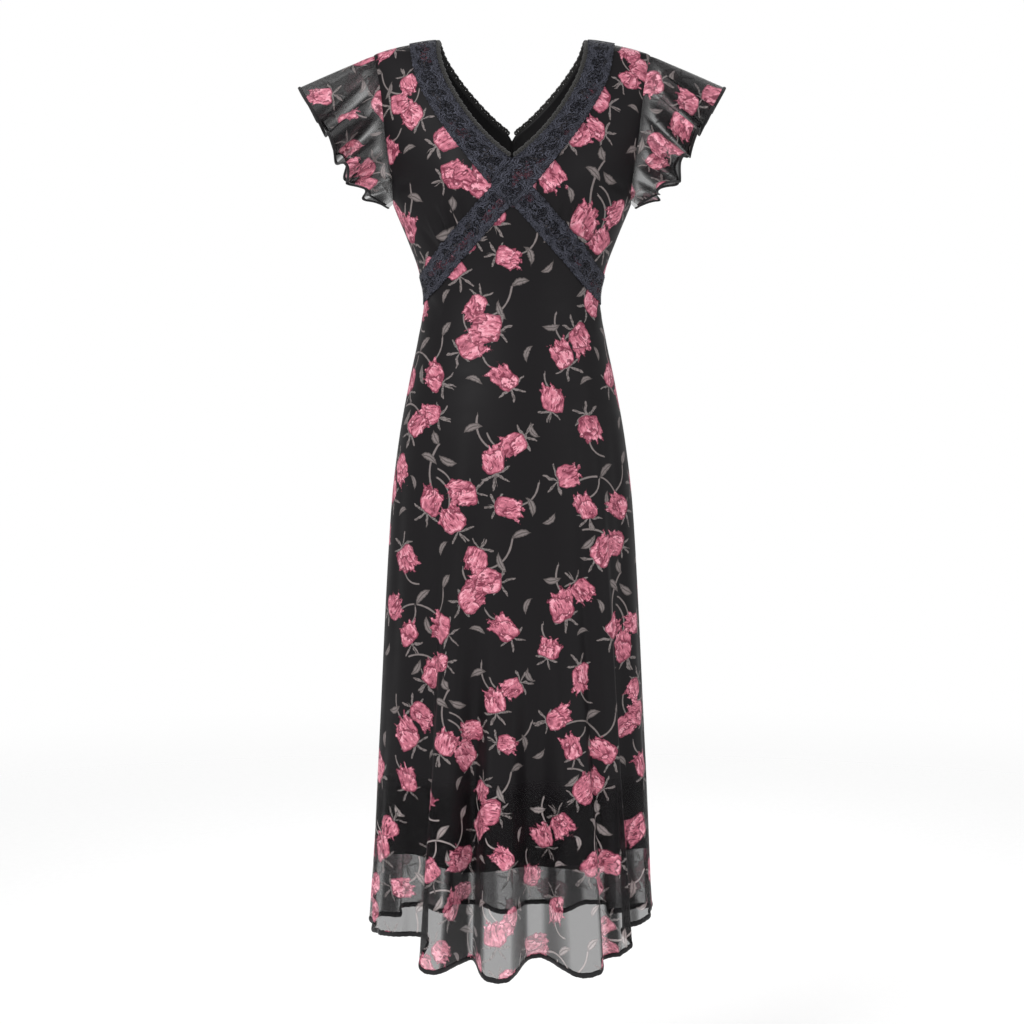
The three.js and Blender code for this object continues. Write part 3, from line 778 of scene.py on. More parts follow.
def makeBudGroup():
    # One rosebud, pointing up y, about 1 across each way. z is a seed.
    tree, n, given, out = newGroup("rosebud", "Place", {}, "Petal Line Tone Calyx Vein")
    x, y, seed = n.parts(given["Place"])

    def vary(speed, middle, reach):  # a number that differs from bud to bud
        return n.fit(n.sine(n.times(seed, speed)), reach, middle)

    lift = n.scaled(n.joined(31.0, 17.0, 7.0), seed)
    spot = n.vector("ADD", n.joined(x, y), lift)
    wx, wy, _ = n.parts(n.shaken(n.joined(x, y), spot, 1.3, 0.45))
    # buds differ in build: narrow or wide, short or tall, upright or leaning
    qx = n.fit(wy, vary(71.0, 0.0, 0.28), n.times(wx, vary(53.0, 1.12, 0.17)))
    qy = n.times(n.minus(wy, 0.08), vary(29.0, 0.98, 0.13))
    squareness = 3.1  # 2 would be an oval
    radius = n.plus(n.power(n.size(qx), squareness), n.power(n.size(qy), squareness))
    radius = n.power(radius, 1 / squareness)
    angle = n.bearing(qx, qy)
    upness = n.cosine(angle)
    tip = n.step(upness, 0.05, 0.8)
    # flames at the tip, and a nibbled edge elsewhere
    rough = n.noise(spot, 2.3, detail=3.0, roughness=0.6)
    flame = n.fraction(n.fit(angle, 1.75, n.fit(rough, 1.6, seed)))
    flame = n.minus(1.0, n.size(n.fit(flame, 2.0, -1.0)))
    flame = n.times(n.times(n.power(flame, 1.7), n.fit(rough, 0.75, -0.08)), tip)
    torn = n.minus(n.noise(spot, 6.0, detail=4.0, roughness=0.7), 0.5)
    torn = n.times(torn, n.fit(tip, 0.46, 0.15))
    foot = n.times(n.step(upness, -0.45, -1.0), -0.09)
    inside = n.minus(n.plus(n.plus(flame, torn), n.plus(foot, 0.8)), radius)
    n.feed(out["Petal"], n.step(inside, 0.0, 0.02))
    rim = n.step(inside, 0.12, 0.055)
    # the edges of two or three wide petals, each light on one side and dark on the other
    sweep = n.fit(wx, vary(37.0, 0.35, 0.6), n.times(wy, vary(43.0, 0.55, 0.35)))
    sweep = n.fit(n.times(radius, radius), 0.75, sweep)
    sweep = n.plus(n.fit(n.noise(spot, 1.7, detail=4.0), 1.7, sweep), seed)
    turned = n.fraction(sweep)
    fold = n.least(turned, n.minus(1.0, turned))
    width = n.fit(n.noise(spot, 3.4), 0.3, -0.085)
    foldLine = n.step(n.minus(fold, width), 0.03, -0.005)
    # short broken strokes, mostly near the ragged tip
    leaned = n.fit(wy, 2.6, n.times(wx, 2.0))
    leaned = n.vector("ADD", n.joined(n.times(wx, 9.0), leaned, seed), lift)
    dash = n.step(n.minus(n.noise(leaned, 1.0, detail=1.0), n.fit(tip, -0.06, 0.62)), 0.0, 0.03)
    line = n.most(n.times(rim, 0.85), n.times(foldLine, 0.9))
    n.feed(out["Line"], n.most(line, n.times(dash, 0.9)))
    cloud = n.noise(n.vector("MULTIPLY", spot, (1.6, 0.8, 1.0)), 3.0, detail=5.0, roughness=0.7)
    n.feed(out["Tone"], n.fit(turned, 0.6, n.fit(cloud, 2.6, -1.1), clamp=True))
    # sepals that spread from the foot
    footY = n.plus(wy, 0.6)
    spread = n.fit(n.bearing(wx, footY), 3.1, n.times(seed, 5.0))
    length = n.fit(n.power(n.size(n.cosine(spread)), 7.0), 0.78, 0.14)
    length = n.fit(n.minus(n.noise(spot, 2.7), 0.5), 0.5, length)
    n.feed(out["Calyx"], n.step(n.minus(length, n.reach(wx, footY)), 0.0, 0.025))
    hatch = n.noise(n.vector("MULTIPLY", spot, (2.2, 0.9, 1.0)), 6.5, detail=1.0)
    n.feed(out["Vein"], n.step(hatch, 0.5, 0.56))
    return tree


def makeStrokeGroup():
    # A stem or a leaf: x runs along it from 0 to 1, y is the distance off in half widths.
    tree, n, given, out = newGroup("stemOrLeaf", "Place", {"Swell": 0.0}, "Mask Vein")
    along, off, seed = n.parts(given["Place"])
    bent = n.noise(n.joined(n.times(along, 5.0), 0.0, seed), 1.4)
    belly = n.times(n.power(n.sine(n.times(along, math.pi)), 0.75), n.fit(bent, 0.9, 0.55))
    plain = n.times(n.fit(bent, 0.8, 0.6), n.minus(1.0, given["Swell"]))
    inside = n.minus(n.plus(n.times(belly, given["Swell"]), plain), n.size(off))
    ends = n.times(n.step(along, 0.0, 0.01), n.step(along, 1.0, 0.99))
    n.feed(out["Mask"], n.times(n.step(inside, 0.0, 0.12), ends))
    middle = n.times(n.step(n.gap(off, n.fit(bent, 0.7, -0.35)), 0.2, 0.1), given["Swell"])
    n.feed(out["Vein"], n.most(middle, n.step(inside, 0.42, 0.24)))
    return tree


def makeGrainGroup():  # the pebbled yarn of crepe chiffon
    tree, n, given, out = newGroup("crepeGrain", "Cloth", {"Pitch": 1500.0}, "Yarn Slub")
    x, y, _ = n.parts(n.scaled(given["Cloth"], given["Pitch"]))
    pebble = n.noise(n.joined(x, y), 1.0)
    warpYarn, weftYarn = (n.sine(n.fit(pebble, 3.0, n.times(run, 2.2))) for run in (x, y))
    n.feed(out["Yarn"], n.fit(n.times(warpYarn, weftYarn), 0.25, n.fit(pebble, 0.5, 0.25)))
    slubs = n.vector("MULTIPLY", n.joined(x, y), (0.012, 0.03, 1.0))
    n.feed(out["Slub"], n.noise(slubs, 1.0, detail=3.0))
    return tree


groups = {"bud": makeBudGroup(), "stroke": makeStrokeGroup(), "grain": makeGrainGroup()}


def newMaterial(name, gloss, sheen=0.0):
    material = bpy.data.materials.new(name)
    material.use_nodes = True
    shader = next(node for node in material.node_tree.nodes if node.type == "BSDF_PRINCIPLED")
    desk = NodeDesk(material.node_tree)
    desk.feedAll(shader, {"Specular IOR Level": gloss, "Sheen Weight": sheen})
    return material, desk, shader


def bumpInto(n, shader, height, strength, distance):
    node = n.add("ShaderNodeBump")
    n.feedAll(node, {"Strength": strength, "Distance": distance, "Height": height})
    n.feed(shader.inputs["Normal"], node.outputs["Normal"])


def printOver(n, base, unlined, film):  # the rosebud print: its colour over the cloth's, and where it covers
    # painted glow: where the cloth is unlined the ink colour is brightened, standing in for light coming
    # through it from behind
    leafGlow, petalGlow = (n.fit(unlined, film[key], 1.0) for key in ("leafGlow", "petalGlow"))
    cover, colour = 0.0, base
    for layer, swell in (("stem", 0.0), ("leaf", 1.0)):
        place = n.attribute(layer)
        stroke = n.group("stroke", Place=place, Swell=swell)
        grey = n.mix(n.noise(n.scaled(place, 4.0), 1.0), inks["leafMid"], inks["leafLight"])
        grey = n.mix(n.times(stroke["Vein"], 0.75), grey, inks["leafDark"])
        colour = n.mix(stroke["Mask"], colour, n.dimmed(grey, leafGlow))
        cover = n.most(cover, stroke["Mask"])
    for layer in ("budA", "budB"):
        bud = n.group("bud", Place=n.attribute(layer))
        grey = n.mix(bud["Vein"], inks["leafLight"], inks["leafDark"])
        colour = n.mix(bud["Calyx"], colour, n.mix(0.45, grey, inks["leafMid"]))
        pink = n.mix(n.step(bud["Tone"], 0.1, 0.5), inks["petalDark"], inks["petalMid"])
        pink = n.mix(n.step(bud["Tone"], 0.48, 0.9), pink, inks["petalLight"])
        pink = n.mix(n.times(bud["Line"], 0.9), pink, inks["petalLine"])
        colour = n.mix(bud["Petal"], colour, n.dimmed(pink, petalGlow))
        cover = n.most(cover, n.most(bud["Petal"], bud["Calyx"]))
    return colour, cover


def makeChiffon(name, printed, film):
    material, n, shader = newMaterial(name, film["gloss"], film["sheen"])
    grain = n.group("grain", Cloth=n.clothMap())
    colour = n.mix(n.times(grain["Yarn"], 0.4), inks["black"], inks["blackLit"])
    alpha = n.fit(n.minus(grain["Yarn"], 0.5), 0.16, film["alpha"])
    # the film is denser where the cloth turns over in folds, as cloth seen edge-on is, and darker there as
    # painted shade in the folds
    fold = n.times(n.attribute("fold", "Fac"), film["foldShadeAlpha"])
    alpha = n.fit(fold, n.minus(1.0, alpha), alpha)
    unlined, printAlpha = 1.0, film["printAlpha"]
    if "sheerBelow" in film:
        height = n.parts(n.objectPlace())[2]
        closed = n.step(height, film["sheerBelow"] * mm, film["closeAbove"] * mm)
        alpha = n.most(alpha, closed)
        unlined = n.minus(1.0, closed)
        printAlpha = n.fit(closed, film["closedPrint"] - film["printAlpha"], film["printAlpha"])
    if printed:
        colour, cover = printOver(n, colour, unlined, film)
        colour = n.dimmed(colour, n.fit(grain["Yarn"], 0.16, 0.92))
        alpha = n.plus(n.times(alpha, n.minus(1.0, cover)), n.times(cover, printAlpha))
    roughness = n.fit(grain["Slub"], 0.2, 0.4)
    n.feedAll(shader, {"Base Color": colour, "Alpha": alpha, "Roughness": roughness, "Sheen Roughness": 0.45})
    bumpInto(n, shader, grain["Yarn"], 0.1, 0.00002)
    return material


def makeLining():
    material, n, shader = newMaterial("blackLining", 0.24, 0.04)
    grain = n.group("grain", Cloth=n.clothMap(), Pitch=2600.0)
    tone = n.fit(grain["Slub"], 0.6, n.times(grain["Yarn"], 0.3))
    n.feed(shader.inputs["Base Color"], n.mix(tone, inks["liningDark"], inks["liningLit"]))
    n.feed(shader.inputs["Roughness"], n.fit(grain["Slub"], 0.2, 0.42))
    bumpInto(n, shader, grain["Yarn"], 0.2, 0.00002)
    return material


laceLook = {
    "repeat": 24,
    "band": 34,
    "cord": (0.036, 0.037, 0.051),
    "shadow": (0.006, 0.006, 0.0085),
    "light": (0.1, 0.104, 0.134),
}


def makeLace():
    # x runs along the band and y across it in millimetres, both from the band's own map
    material, n, shader = newMaterial("cordedLace", 0.12, 0.03)
    x, y, _ = n.parts(n.scaled(n.clothMap(), 1000.0))
    wx, wy, _ = n.parts(n.shaken(n.joined(x, y), n.joined(x, y), 0.16, 9.0, detail=3.0))
    # flowers down the middle of the band, each five petals round an eye
    half = laceLook["repeat"] / 2
    cx = n.fit(n.fraction(n.over(wx, 2 * half)), 2 * half, -half)
    cy = n.minus(wy, laceLook["band"] / 2)
    away = n.reach(cx, cy)
    lobes = n.size(n.cosine(n.times(n.bearing(cx, cy), 2.5)))
    petalEdge = n.step(n.gap(away, n.fit(lobes, 3.6, 4.6)), 0.8, 0.3)
    eye = n.step(n.gap(away, 1.8), 0.7, 0.3)
    # scrolls that wave along both sides of them, each with an echo
    wave = n.fit(n.cosine(n.times(cx, math.pi / half)), -3.2, 11.2)
    scroll = n.gap(n.size(cy), wave)
    scrollCord = n.most(n.step(scroll, 0.9, 0.35), n.step(n.gap(scroll, 2.6), 0.7, 0.3))
    # cords that wander over a net
    tangle = n.noise(n.joined(n.times(wx, 0.7), wy), 0.42, detail=1.0)
    tangleCord = n.step(n.gap(n.fraction(n.times(tangle, 5.0)), 0.5), 0.16, 0.06)
    cells = n.add("ShaderNodeTexVoronoi", feature="DISTANCE_TO_EDGE")
    n.feed(cells.inputs["Vector"], n.joined(wx, wy))
    cells.inputs["Scale"].default_value = 0.42
    net = n.step(cells.outputs["Distance"], 0.16, 0.06)
    cord = n.most(n.most(petalEdge, scrollCord), n.most(eye, tangleCord))
    fill = n.step(n.noise(n.joined(wx, wy), 0.5, roughness=0.7), 0.4, 0.62)
    body = n.most(cord, n.most(n.times(net, 0.42), n.times(fill, 0.3)))
    # it is closer worked towards both edges
    side = n.step(n.gap(y, laceLook["band"] / 2), 4.0, 12.0)
    body = n.most(body, n.times(side, n.fit(fill, 0.45, 0.28)))
    thread = n.noise(n.joined(x, y), 1.7)
    # painted highlight on the thickest cords, and painted shadow where the work thins out between them
    lit = n.times(n.times(body, body), n.fit(thread, 0.9, 0.15))
    colour = n.mix(n.step(body, 0.2, 0.9), laceLook["shadow"], laceLook["cord"])
    n.feed(shader.inputs["Base Color"], n.mix(n.times(lit, 0.75), colour, laceLook["light"]))
    n.feed(shader.inputs["Alpha"], n.most(n.step(body, 0.15, 0.62), n.fit(side, 0.38, 0.2)))
    n.feed(shader.inputs["Roughness"], n.fit(body, -0.2, 0.85))
    bumpInto(n, shader, n.fit(thread, 0.15, body), 1.0, 0.0016)
    return material


def makeEdging(name, colour):
    material, n, shader = newMaterial(name, 0.3, 0.1)
    thread = n.noise(n.scaled(n.objectPlace(), 900.0), 1.0)
    soft = n.noise(n.scaled(n.objectPlace(), 60.0), 1.0)
    tone = n.fit(thread, 0.6, n.times(soft, 0.5), clamp=True)
    dark, light = (tuple(share * v for v in colour) for share in (0.6, 1.5))
    n.feed(shader.inputs["Base Color"], n.mix(tone, dark, light))
    n.feed(shader.inputs["Roughness"], n.fit(thread, 0.2, 0.6))
    bumpInto(n, shader, thread, 0.4, 0.0004)
    return material


materials = {"lining": makeLining(), "lace": makeLace()}
for where, names in (("front", "Chiffon"), ("back", "BackChiffon"), ("sleeve", "SleeveChiffon")):
    materials[where + "Print"] = makeChiffon("rosebud" + names, True, films[where])
    materials[where + "Film"] = makeChiffon("plain" + names, False, films[where])
materials["hem"] = makeEdging("rolledHem", inks["hem"])
materials["picot"] = makeEdging("picotThread", inks["picot"])
print("materials made")

panels = {"wall": 0.5, "bodiceCell": 4.5, "skirtCell": 6.2}
hemDepth = 6


def register(piece, node):
    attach(piece, "root")
    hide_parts(node)


foldShadeMark = {"reach": 14, "gain": 2.6, "floor": 0.3}


def markFoldShade(piece, points, gatheredShade=0):  # 1 where the cloth turns away from its own broad lie: painted shade in the folds
    reach = foldShadeMark["reach"]
    normal = unit(np.cross(np.gradient(points, axis=1), np.gradient(points, axis=0)))
    padded = np.pad(normal, ((0, 0), (reach, reach), (0, 0)), mode="edge")
    total = np.cumsum(np.pad(padded, ((0, 0), (1, 0), (0, 0))), axis=1)
    broad = unit(total[:, 2 * reach + 1:] - total[:, :-(2 * reach + 1)])
    fold = np.clip((1 - (normal * broad).sum(axis=-1)) * foldShadeMark["gain"] - foldShadeMark["floor"], 0, 1)
    fill(piece.data.attributes.new("fold", "FLOAT", "POINT"), "value", np.maximum(fold, gatheredShade))


def tellCut(name, points, cloth):
    width, length = np.ptp(cloth.reshape(-1, 2), axis=0) * mm
    print(f"{name}: {sheetArea(points) * mm * mm:.5f} m2, cut from {width:.3f} x {length:.3f} m")


def printedPanel(name, node, points, outside, origin, where="front", gatheredShade=0):
    piece, faces = makeSheet(name, points, outside)
    cloth = layFlat(piece, points)
    layPrint(piece, faces, cloth, origin)
    markFoldShade(piece, points, gatheredShade)
    thicken(piece, panels["wall"], [materials[where + coat] for coat in ("Print", "Film")])
    register(piece, node)
    tellCut(name, points, cloth)
    return piece


def frontInner(z):
    point = frontNeck[-1]["z"]
    low = np.where(z > point - centreSeamSpan, 0.0, underbustTurn(z))
    return np.where(z > point, frontTurn(frontNeckX(z), z), low)


def frontOuter(z):
    return 90 - armholeOpen(z)


def backInner(z):
    return np.where(z > backNeck[-1]["z"], backTurn(backNeckX(z), z), 180.0)


def backOuter(z):
    return 90 + armholeOpen(z)


def between(z, inner, outer, columns):
    share = np.linspace(0, 1, columns)[None, :]
    low, high = inner(z)[:, None], outer(z)[:, None]
    return low + (high - low) * share, z[:, None] + 0 * share


bodice = {"top": -0.4, "foot": -319.5, "columns": 52, "flat": (0.2, 0.395), "area": 0.0412,
          "origins": {"left": (120, 170), "right": (90, 110)}}
bodiceRows = evenRows(frontOuter, bodice["top"], bodice["foot"], panels["bodiceCell"])
for label, side in sides.items():
    turn, z = between(bodiceRows, frontInner, frontOuter, bodice["columns"])
    points = dressPoint(side * turn, z)
    origin = bodice["origins"][label]
    name = f"bodiceFront_{label}"
    printedPanel(name, f"bodice_front_{label}", points, awayFromAxis, origin)

# Below the waist a back's columns slide over to suit the flutes, and its rows follow the hem.
backs = {"top": -0.4, "foot": -1152.0, "columns": 104, "slideFrom": 250, "slideTo": 560, "even": -600,
         "flat": (0.41, 1.175), "area": 0.253, "origins": {"left": (60, 130), "right": (190, 20)}}


def stretchBelow(z, start, foot, newFoot):  # heights under start are spread to end at newFoot
    return np.where(z < start, start + (z - start) / (foot - start) * (newFoot - start), z)


for label, side in sides.items():
    z = evenRows(backOuter, backs["top"], backs["foot"], panels["skirtCell"])
    turn, z = between(z, backInner, backOuter, backs["columns"])
    low, high = (90, 180) if side > 0 else (180, 270)
    columns = spreadColumns(low, high, backs["columns"])
    columns = columns[::-1] if side > 0 else 360 - columns
    settled = smooth(-z, backs["slideFrom"], backs["slideTo"])
    turn = turn + (columns[None, :] - turn) * settled
    turn = side * turn % 360
    z = stretchBelow(z, backs["even"], backs["foot"], hemZ(turn) + hemDepth / 2)
    points = dressPoint(turn, z)
    name = f"back_{label}Panel"
    printedPanel(
        name, f"back_{label}", points, awayFromAxis, backs["origins"][label], "back"
    )

skirt = {"columns": 200, "rows": 160, "seam": 0.4, "origin": (36, 88), "flat": (0.69, 1.015), "area": 0.42}
turn = spreadColumns(-90, 90, skirt["columns"])[None, :]
share = np.linspace(0, 1, skirt["rows"])[:, None]
top = underbustZ(np.abs(turn)) - skirt["seam"]
z = top + (hemZ(turn) + hemDepth / 2 - top) * share
turn = turn + 0 * share
points = dressPoint(turn, z)
frontPanel = printedPanel("frontSkirtPanel", "front_panel", points, awayFromAxis, skirt["origin"])
print("panels laid out")

lining = {
    "wall": 0.7,
    "cell": 7,
    "columns": 40,
    "top": -13.5,
    "even": -900,
    "drop": 1.7,
    "follow": 12,
    "sideFollow": 38,
    "front": -1055,
    "side": -1040,
    "waves": 7,
    "waveReach": 5,
    "wavePhase": 40,
    "neckGap": 0.4,
    "flat": {"front": (0.28, 1.02), "back": (0.28, 1.055)},
    "area": {"front": 0.198, "back": 0.206},
}


def liningPoint(turn, z):
    # it follows the cloth closely, but stays out of the deep flutes
    inwards = plainPoint(turn, z)
    out = outward(plainPoint, turn, z)
    stand = ((dressPoint(turn, z) - inwards) * out).sum(axis=-1)
    spare = lining["sideFollow"] - lining["follow"]
    most = lining["follow"] + spare * np.sin(np.radians(turn)) ** 4
    stand = most * np.tanh(np.maximum(stand, 0) / most) + np.minimum(stand, 0)
    return inwards + out * (stand - lining["drop"])[..., None]


def liningHemZ(turn):
    side = np.sin(np.radians(turn)) ** 2
    wave = np.sin(np.radians(lining["waves"] * turn + lining["wavePhase"]))
    return lining["front"] + (lining["side"] - lining["front"]) * side + lining["waveReach"] * wave


def liningFrontInner(z):
    return np.where(z > frontNeck[-1]["z"], frontInner(z) + lining["neckGap"], 0.0)


for label, side in sides.items():
    for part, inner, outer in (("front", liningFrontInner, frontOuter), ("back", backInner, backOuter)):
        z = evenRows(outer, lining["top"], lining["front"], lining["cell"])
        turn, z = between(z, inner, outer, lining["columns"])
        turn = side * turn
        z = stretchBelow(z, lining["even"], lining["front"], liningHemZ(turn))
        points = liningPoint(turn, z)
        piece, faces = makeSheet(f"lining_{part}_{label}Panel", points, awayFromAxis)
        cloth = layFlat(piece, points)
        thicken(piece, lining["wall"], [materials["lining"]])
        register(piece, f"lining_{part}_{label}")
        tellCut(piece.name, points, cloth)
print("lining hung")

laceBand = {"wall": 0.8, "lift": 1.5, "cell": 2.4, "top": -1.5, "columns": 20, "over": 0.9, "under": 0.4,
            "scallop": 1.5, "scallopPitch": 8, "scallopMiddle": 0.64}
crossing = {"high": -160, "low": -220, "side": {"x": 27, "z": -192}, "overEnd": 1, "underEnd": 2}
neckLaceEdge = table("z x", [
    (-5, 131),
    (-50, 122),
    (-93, 101),
    (-127, 79),
    (-157, 56),
    (-192, 27),
    (-220, 0),
])
neckLaceX = track(neckLaceEdge, "z", "x")


def crossingX(z):
    high, low, side = crossing["high"], crossing["low"], crossing["side"]
    upper = (high - z) / (high - side["z"])
    lower = (z - low) / (side["z"] - low)
    return side["x"] * np.clip(np.where(z > side["z"], upper, lower), 0, 1)


def neckLaceInner(z, side):
    edge = frontTurn(crossingX(z), z)
    return np.where(z > crossing["high"], frontTurn(frontNeckX(z), z), -edge if side > 0 else edge)


def neckLaceOuter(z):
    return frontTurn(np.minimum(neckLaceX(z), halfAt(z)), z)


def onCloth(turn, z, lift):
    return dressPoint(turn, z) + outward(clothPoint, turn, z) * lift


def laceSheet(name, node, points, flat, area):
    # the map runs along the band in x and across it in y
    middle = points[:, points.shape[1] // 2]
    along = runAlong(middle)[:, None] + np.zeros(points.shape[:2])
    beat = np.abs(np.sin(along[:, 0] * np.pi / laceBand["scallopPitch"])) - laceBand["scallopMiddle"]
    for rim, within in ((0, 1), (-1, -2)):
        outwards = unit(points[:, rim] - points[:, within])
        points[:, rim] += outwards * (beat * laceBand["scallop"])[:, None]
    piece, faces = makeSheet(name, points, awayFromAxis)
    across = np.linspace(0, laceLook["band"], points.shape[1])[None, :] + 0 * along
    cloth = np.stack([along, across], axis=-1).reshape(-1, 2)[faces]
    fill(piece.data.uv_layers.new(name="cloth"), "uv", cloth * mm)
    thicken(piece, laceBand["wall"], [materials["lace"]])
    register(piece, node)
    tellCut(name, points, cloth)


neckLaceFlat = {
    "left": {"flat": (0.036, 0.295), "area": 0.00995},
    "right": {"flat": (0.036, 0.25), "area": 0.00826},
}
for label, side in sides.items():
    lowest = crossing["low"] + crossing["overEnd"]
    if side < 0:
        lowest = crossing["side"]["z"] + crossing["underEnd"]
    z = evenRows(
        lambda z: (neckLaceInner(z, side) + neckLaceOuter(z)) / 2, laceBand["top"], lowest, laceBand["cell"]
    )
    turn, z = between(z, lambda z: neckLaceInner(z, side), neckLaceOuter, laceBand["columns"])
    stand = laceBand["over"] if side > 0 else laceBand["under"]
    points = onCloth(side * turn, z, laceBand["lift"] + stand)
    laceSheet(f"laceNeck_{label}", f"lace_neck_{label}", points, **neckLaceFlat[label])


def dot(a, b):
    return (a * b).sum(axis=-1)


def stepAcross(turn, z, course, distance):  # the place a distance off a course, square to it
    perTurn, perRise = directions(figurePoint, turn, z)
    square = unit(np.cross(outward(figurePoint, turn, z), course)) * distance
    tt, tr, rr = dot(perTurn, perTurn), dot(perTurn, perRise), dot(perRise, perRise)
    st, sr = dot(square, perTurn), dot(square, perRise)
    scale = tt * rr - tr * tr
    return turn + (st * rr - sr * tr) / scale, z + (sr * tt - st * tr) / scale


underbustLace = {"tuck": 12, "rows": 96, "columns": 17, "flat": (0.036, 0.22), "area": 0.00745}
for label, side in sides.items():
    startX = crossing["side"]["x"] / 2 - underbustLace["tuck"]
    start = frontTurn(startX, (crossing["low"] + crossing["side"]["z"]) / 2)
    turns = np.linspace(start, 90, underbustLace["rows"])
    heights = underbustZ(turns)
    course = figurePoint(turns + 1, underbustZ(turns + 1)) - figurePoint(turns, heights)
    rows = []
    for share in np.linspace(0.5, -0.5, underbustLace["columns"]):
        halfTurn, halfZ = stepAcross(turns, heights, course, share * laceLook["band"] / 2)
        placeTurn, placeZ = stepAcross(halfTurn, halfZ, course, share * laceLook["band"] / 2)
        placeTurn = np.where(turns == 90, 90, np.minimum(placeTurn, 90))
        rows.append(onCloth(side * placeTurn, placeZ, laceBand["lift"]))
    points = np.stack(rows, axis=1)
    name = f"laceUnderbust_{label}"
    laceSheet(name, f"lace_underbust_{label}", points, underbustLace["flat"], underbustLace["area"])
print("lace applied")

picot = {"pitch": 3.6, "loopWide": 4.2, "loopTall": 4.4, "cord": 1.6, "foot": 3.4, "footThick": 1.1,
         "footIn": 0.2, "loopIn": 0.42, "uneven": 0.08, "beat": 2.1, "cell": 1.6, "sunk": 0.6, "clear": 4.4,
         "top": -1.0, "lowEnd": 0.5, "lean": 0.4}

bpy.ops.object.select_all(action="DESELECT")
bpy.ops.mesh.primitive_torus_add(
    major_segments=12, minor_segments=5, major_radius=0.5, minor_radius=picot["cord"] / picot["loopWide"]
)
loopModel = bpy.context.object
loopPoints = np.array([vertex.co[:] for vertex in loopModel.data.vertices])
loopFaces = np.array([polygon.vertices[:] for polygon in loopModel.data.polygons])
bpy.data.objects.remove(loopModel)


def ovalTube(centres, up, out, tall, thick, around=8):
    # an oval cord along a course, its ends closed with fans
    angles = np.linspace(0, 2 * np.pi, around, endpoint=False)
    ring = (up[:, None] * (np.sin(angles)[None, :, None] * tall / 2)
            + out[:, None] * (np.cos(angles)[None, :, None] * thick / 2)) + centres[:, None]
    rows = len(centres)
    i, k = np.arange(rows - 1)[:, None], np.arange(around)[None, :]
    a, b = i * around + k, i * around + (k + 1) % around
    faces = np.stack([a, b, b + around, a + around], axis=-1).reshape(-1, 4).tolist()
    faces.append(list(range(around))[::-1])
    faces.append([(rows - 1) * around + k for k in range(around)])
    return ring.reshape(-1, 3), faces


def edging(name, node, points, faces, coat):
    piece = addMesh(name, points, faces)
    piece.data.materials.append(materials[coat])
    inEditMode(piece, bpy.ops.mesh.normals_make_consistent, inside=False)
    bpy.ops.object.shade_smooth()
    register(piece, node)
    return piece


def picotStrip(name, node, edgePoints, towards, out):
    # cord along the neck edge with a row of loops standing off it
    run = runAlong(edgePoints)
    count = int(run[-1] / picot["pitch"])
    spots = (np.arange(count) + 0.5) * run[-1] / count

    def at(rows):
        return np.stack([np.interp(spots, run, rows[:, k]) for k in range(3)], axis=-1)

    centre, stand, normal = at(edgePoints), unit(at(towards)), unit(at(out))
    along = unit(np.cross(stand, normal))
    foot = edgePoints + towards * picot["footIn"]
    points, faces = ovalTube(foot, towards, out, picot["foot"], picot["footThick"], around=6)
    points, faces = [points], list(faces)
    total = len(points[0])
    for i in range(count):
        uneven = 1 + picot["uneven"] * math.sin(i * picot["beat"])
        x = loopPoints[:, :1] * picot["loopWide"] * uneven
        y = (loopPoints[:, 1:2] + picot["loopIn"]) * picot["loopTall"] * uneven
        z = loopPoints[:, 2:3] * picot["loopWide"]
        points.append(centre[i] + along[i] * x + stand[i] * y + normal[i] * z)
        faces.extend((loopFaces + total).tolist())
        total += len(loopPoints)
    return edging(name, node, np.concatenate(points), faces, "picot")


for label, side in sides.items():
    for part, neckX, turnOf, lowest in (
        ("front", frontNeckX, frontTurn, frontNeck[-1]["z"]),
        ("back", backNeckX, backTurn, backNeck[-1]["z"]),
    ):
        z = evenRows(lambda z: turnOf(neckX(z), z), picot["top"], lowest + picot["lowEnd"], picot["cell"])
        turn = turnOf(neckX(z), z)
        edge = dressPoint(side * turn, z)
        normal = outward(figurePoint, side * turn, z)
        tangent = unit(np.gradient(edge, axis=0))
        inwards = unit(np.cross(normal, tangent))
        towardsCentre = np.stack([-np.sign(edge[:, 0] + 1e-6 * side), 0 * z, picot["lean"] + 0 * z], axis=-1)
        inwards = inwards * np.where((inwards * towardsCentre).sum(axis=-1) < 0, -1, 1)[:, None]
        keep = np.abs(edge[:, 0]) > picot["clear"]
        edge = edge - normal * picot["sunk"]
        node = f"picot_{part}_{label}"
        strip = picotStrip(f"{node}Edge", node, edge[keep], inwards[keep], normal[keep])
print("picot edging worked")

skirtHem = {"tall": 7, "thick": 3.0, "proud": 0.6, "rings": 420, "waver": ((0.25, 1.9), (0.15, 5.3))}
for part, low, high in (("front", -90, 90), ("back", 90, 270)):
    turn = spreadColumns(low, high, skirtHem["rings"])
    z = hemZ(turn) + hemDepth / 2
    normal = outward(dressPoint, turn, z)
    slope = unit(dressPoint(turn, z + 1) - dressPoint(turn, z - 1))
    centre = dressPoint(turn, z) + normal * (skirtHem["proud"] - skirtHem["thick"] / 2)
    waver = sum(reach * np.sin(turn * beat) for reach, beat in skirtHem["waver"])
    centre = centre + slope * waver[:, None]
    points, faces = ovalTube(centre, slope, normal, skirtHem["tall"], skirtHem["thick"], around=10)
    edging(f"rolledHem_{part}", f"skirt_hem_{part}", points, faces, "hem")

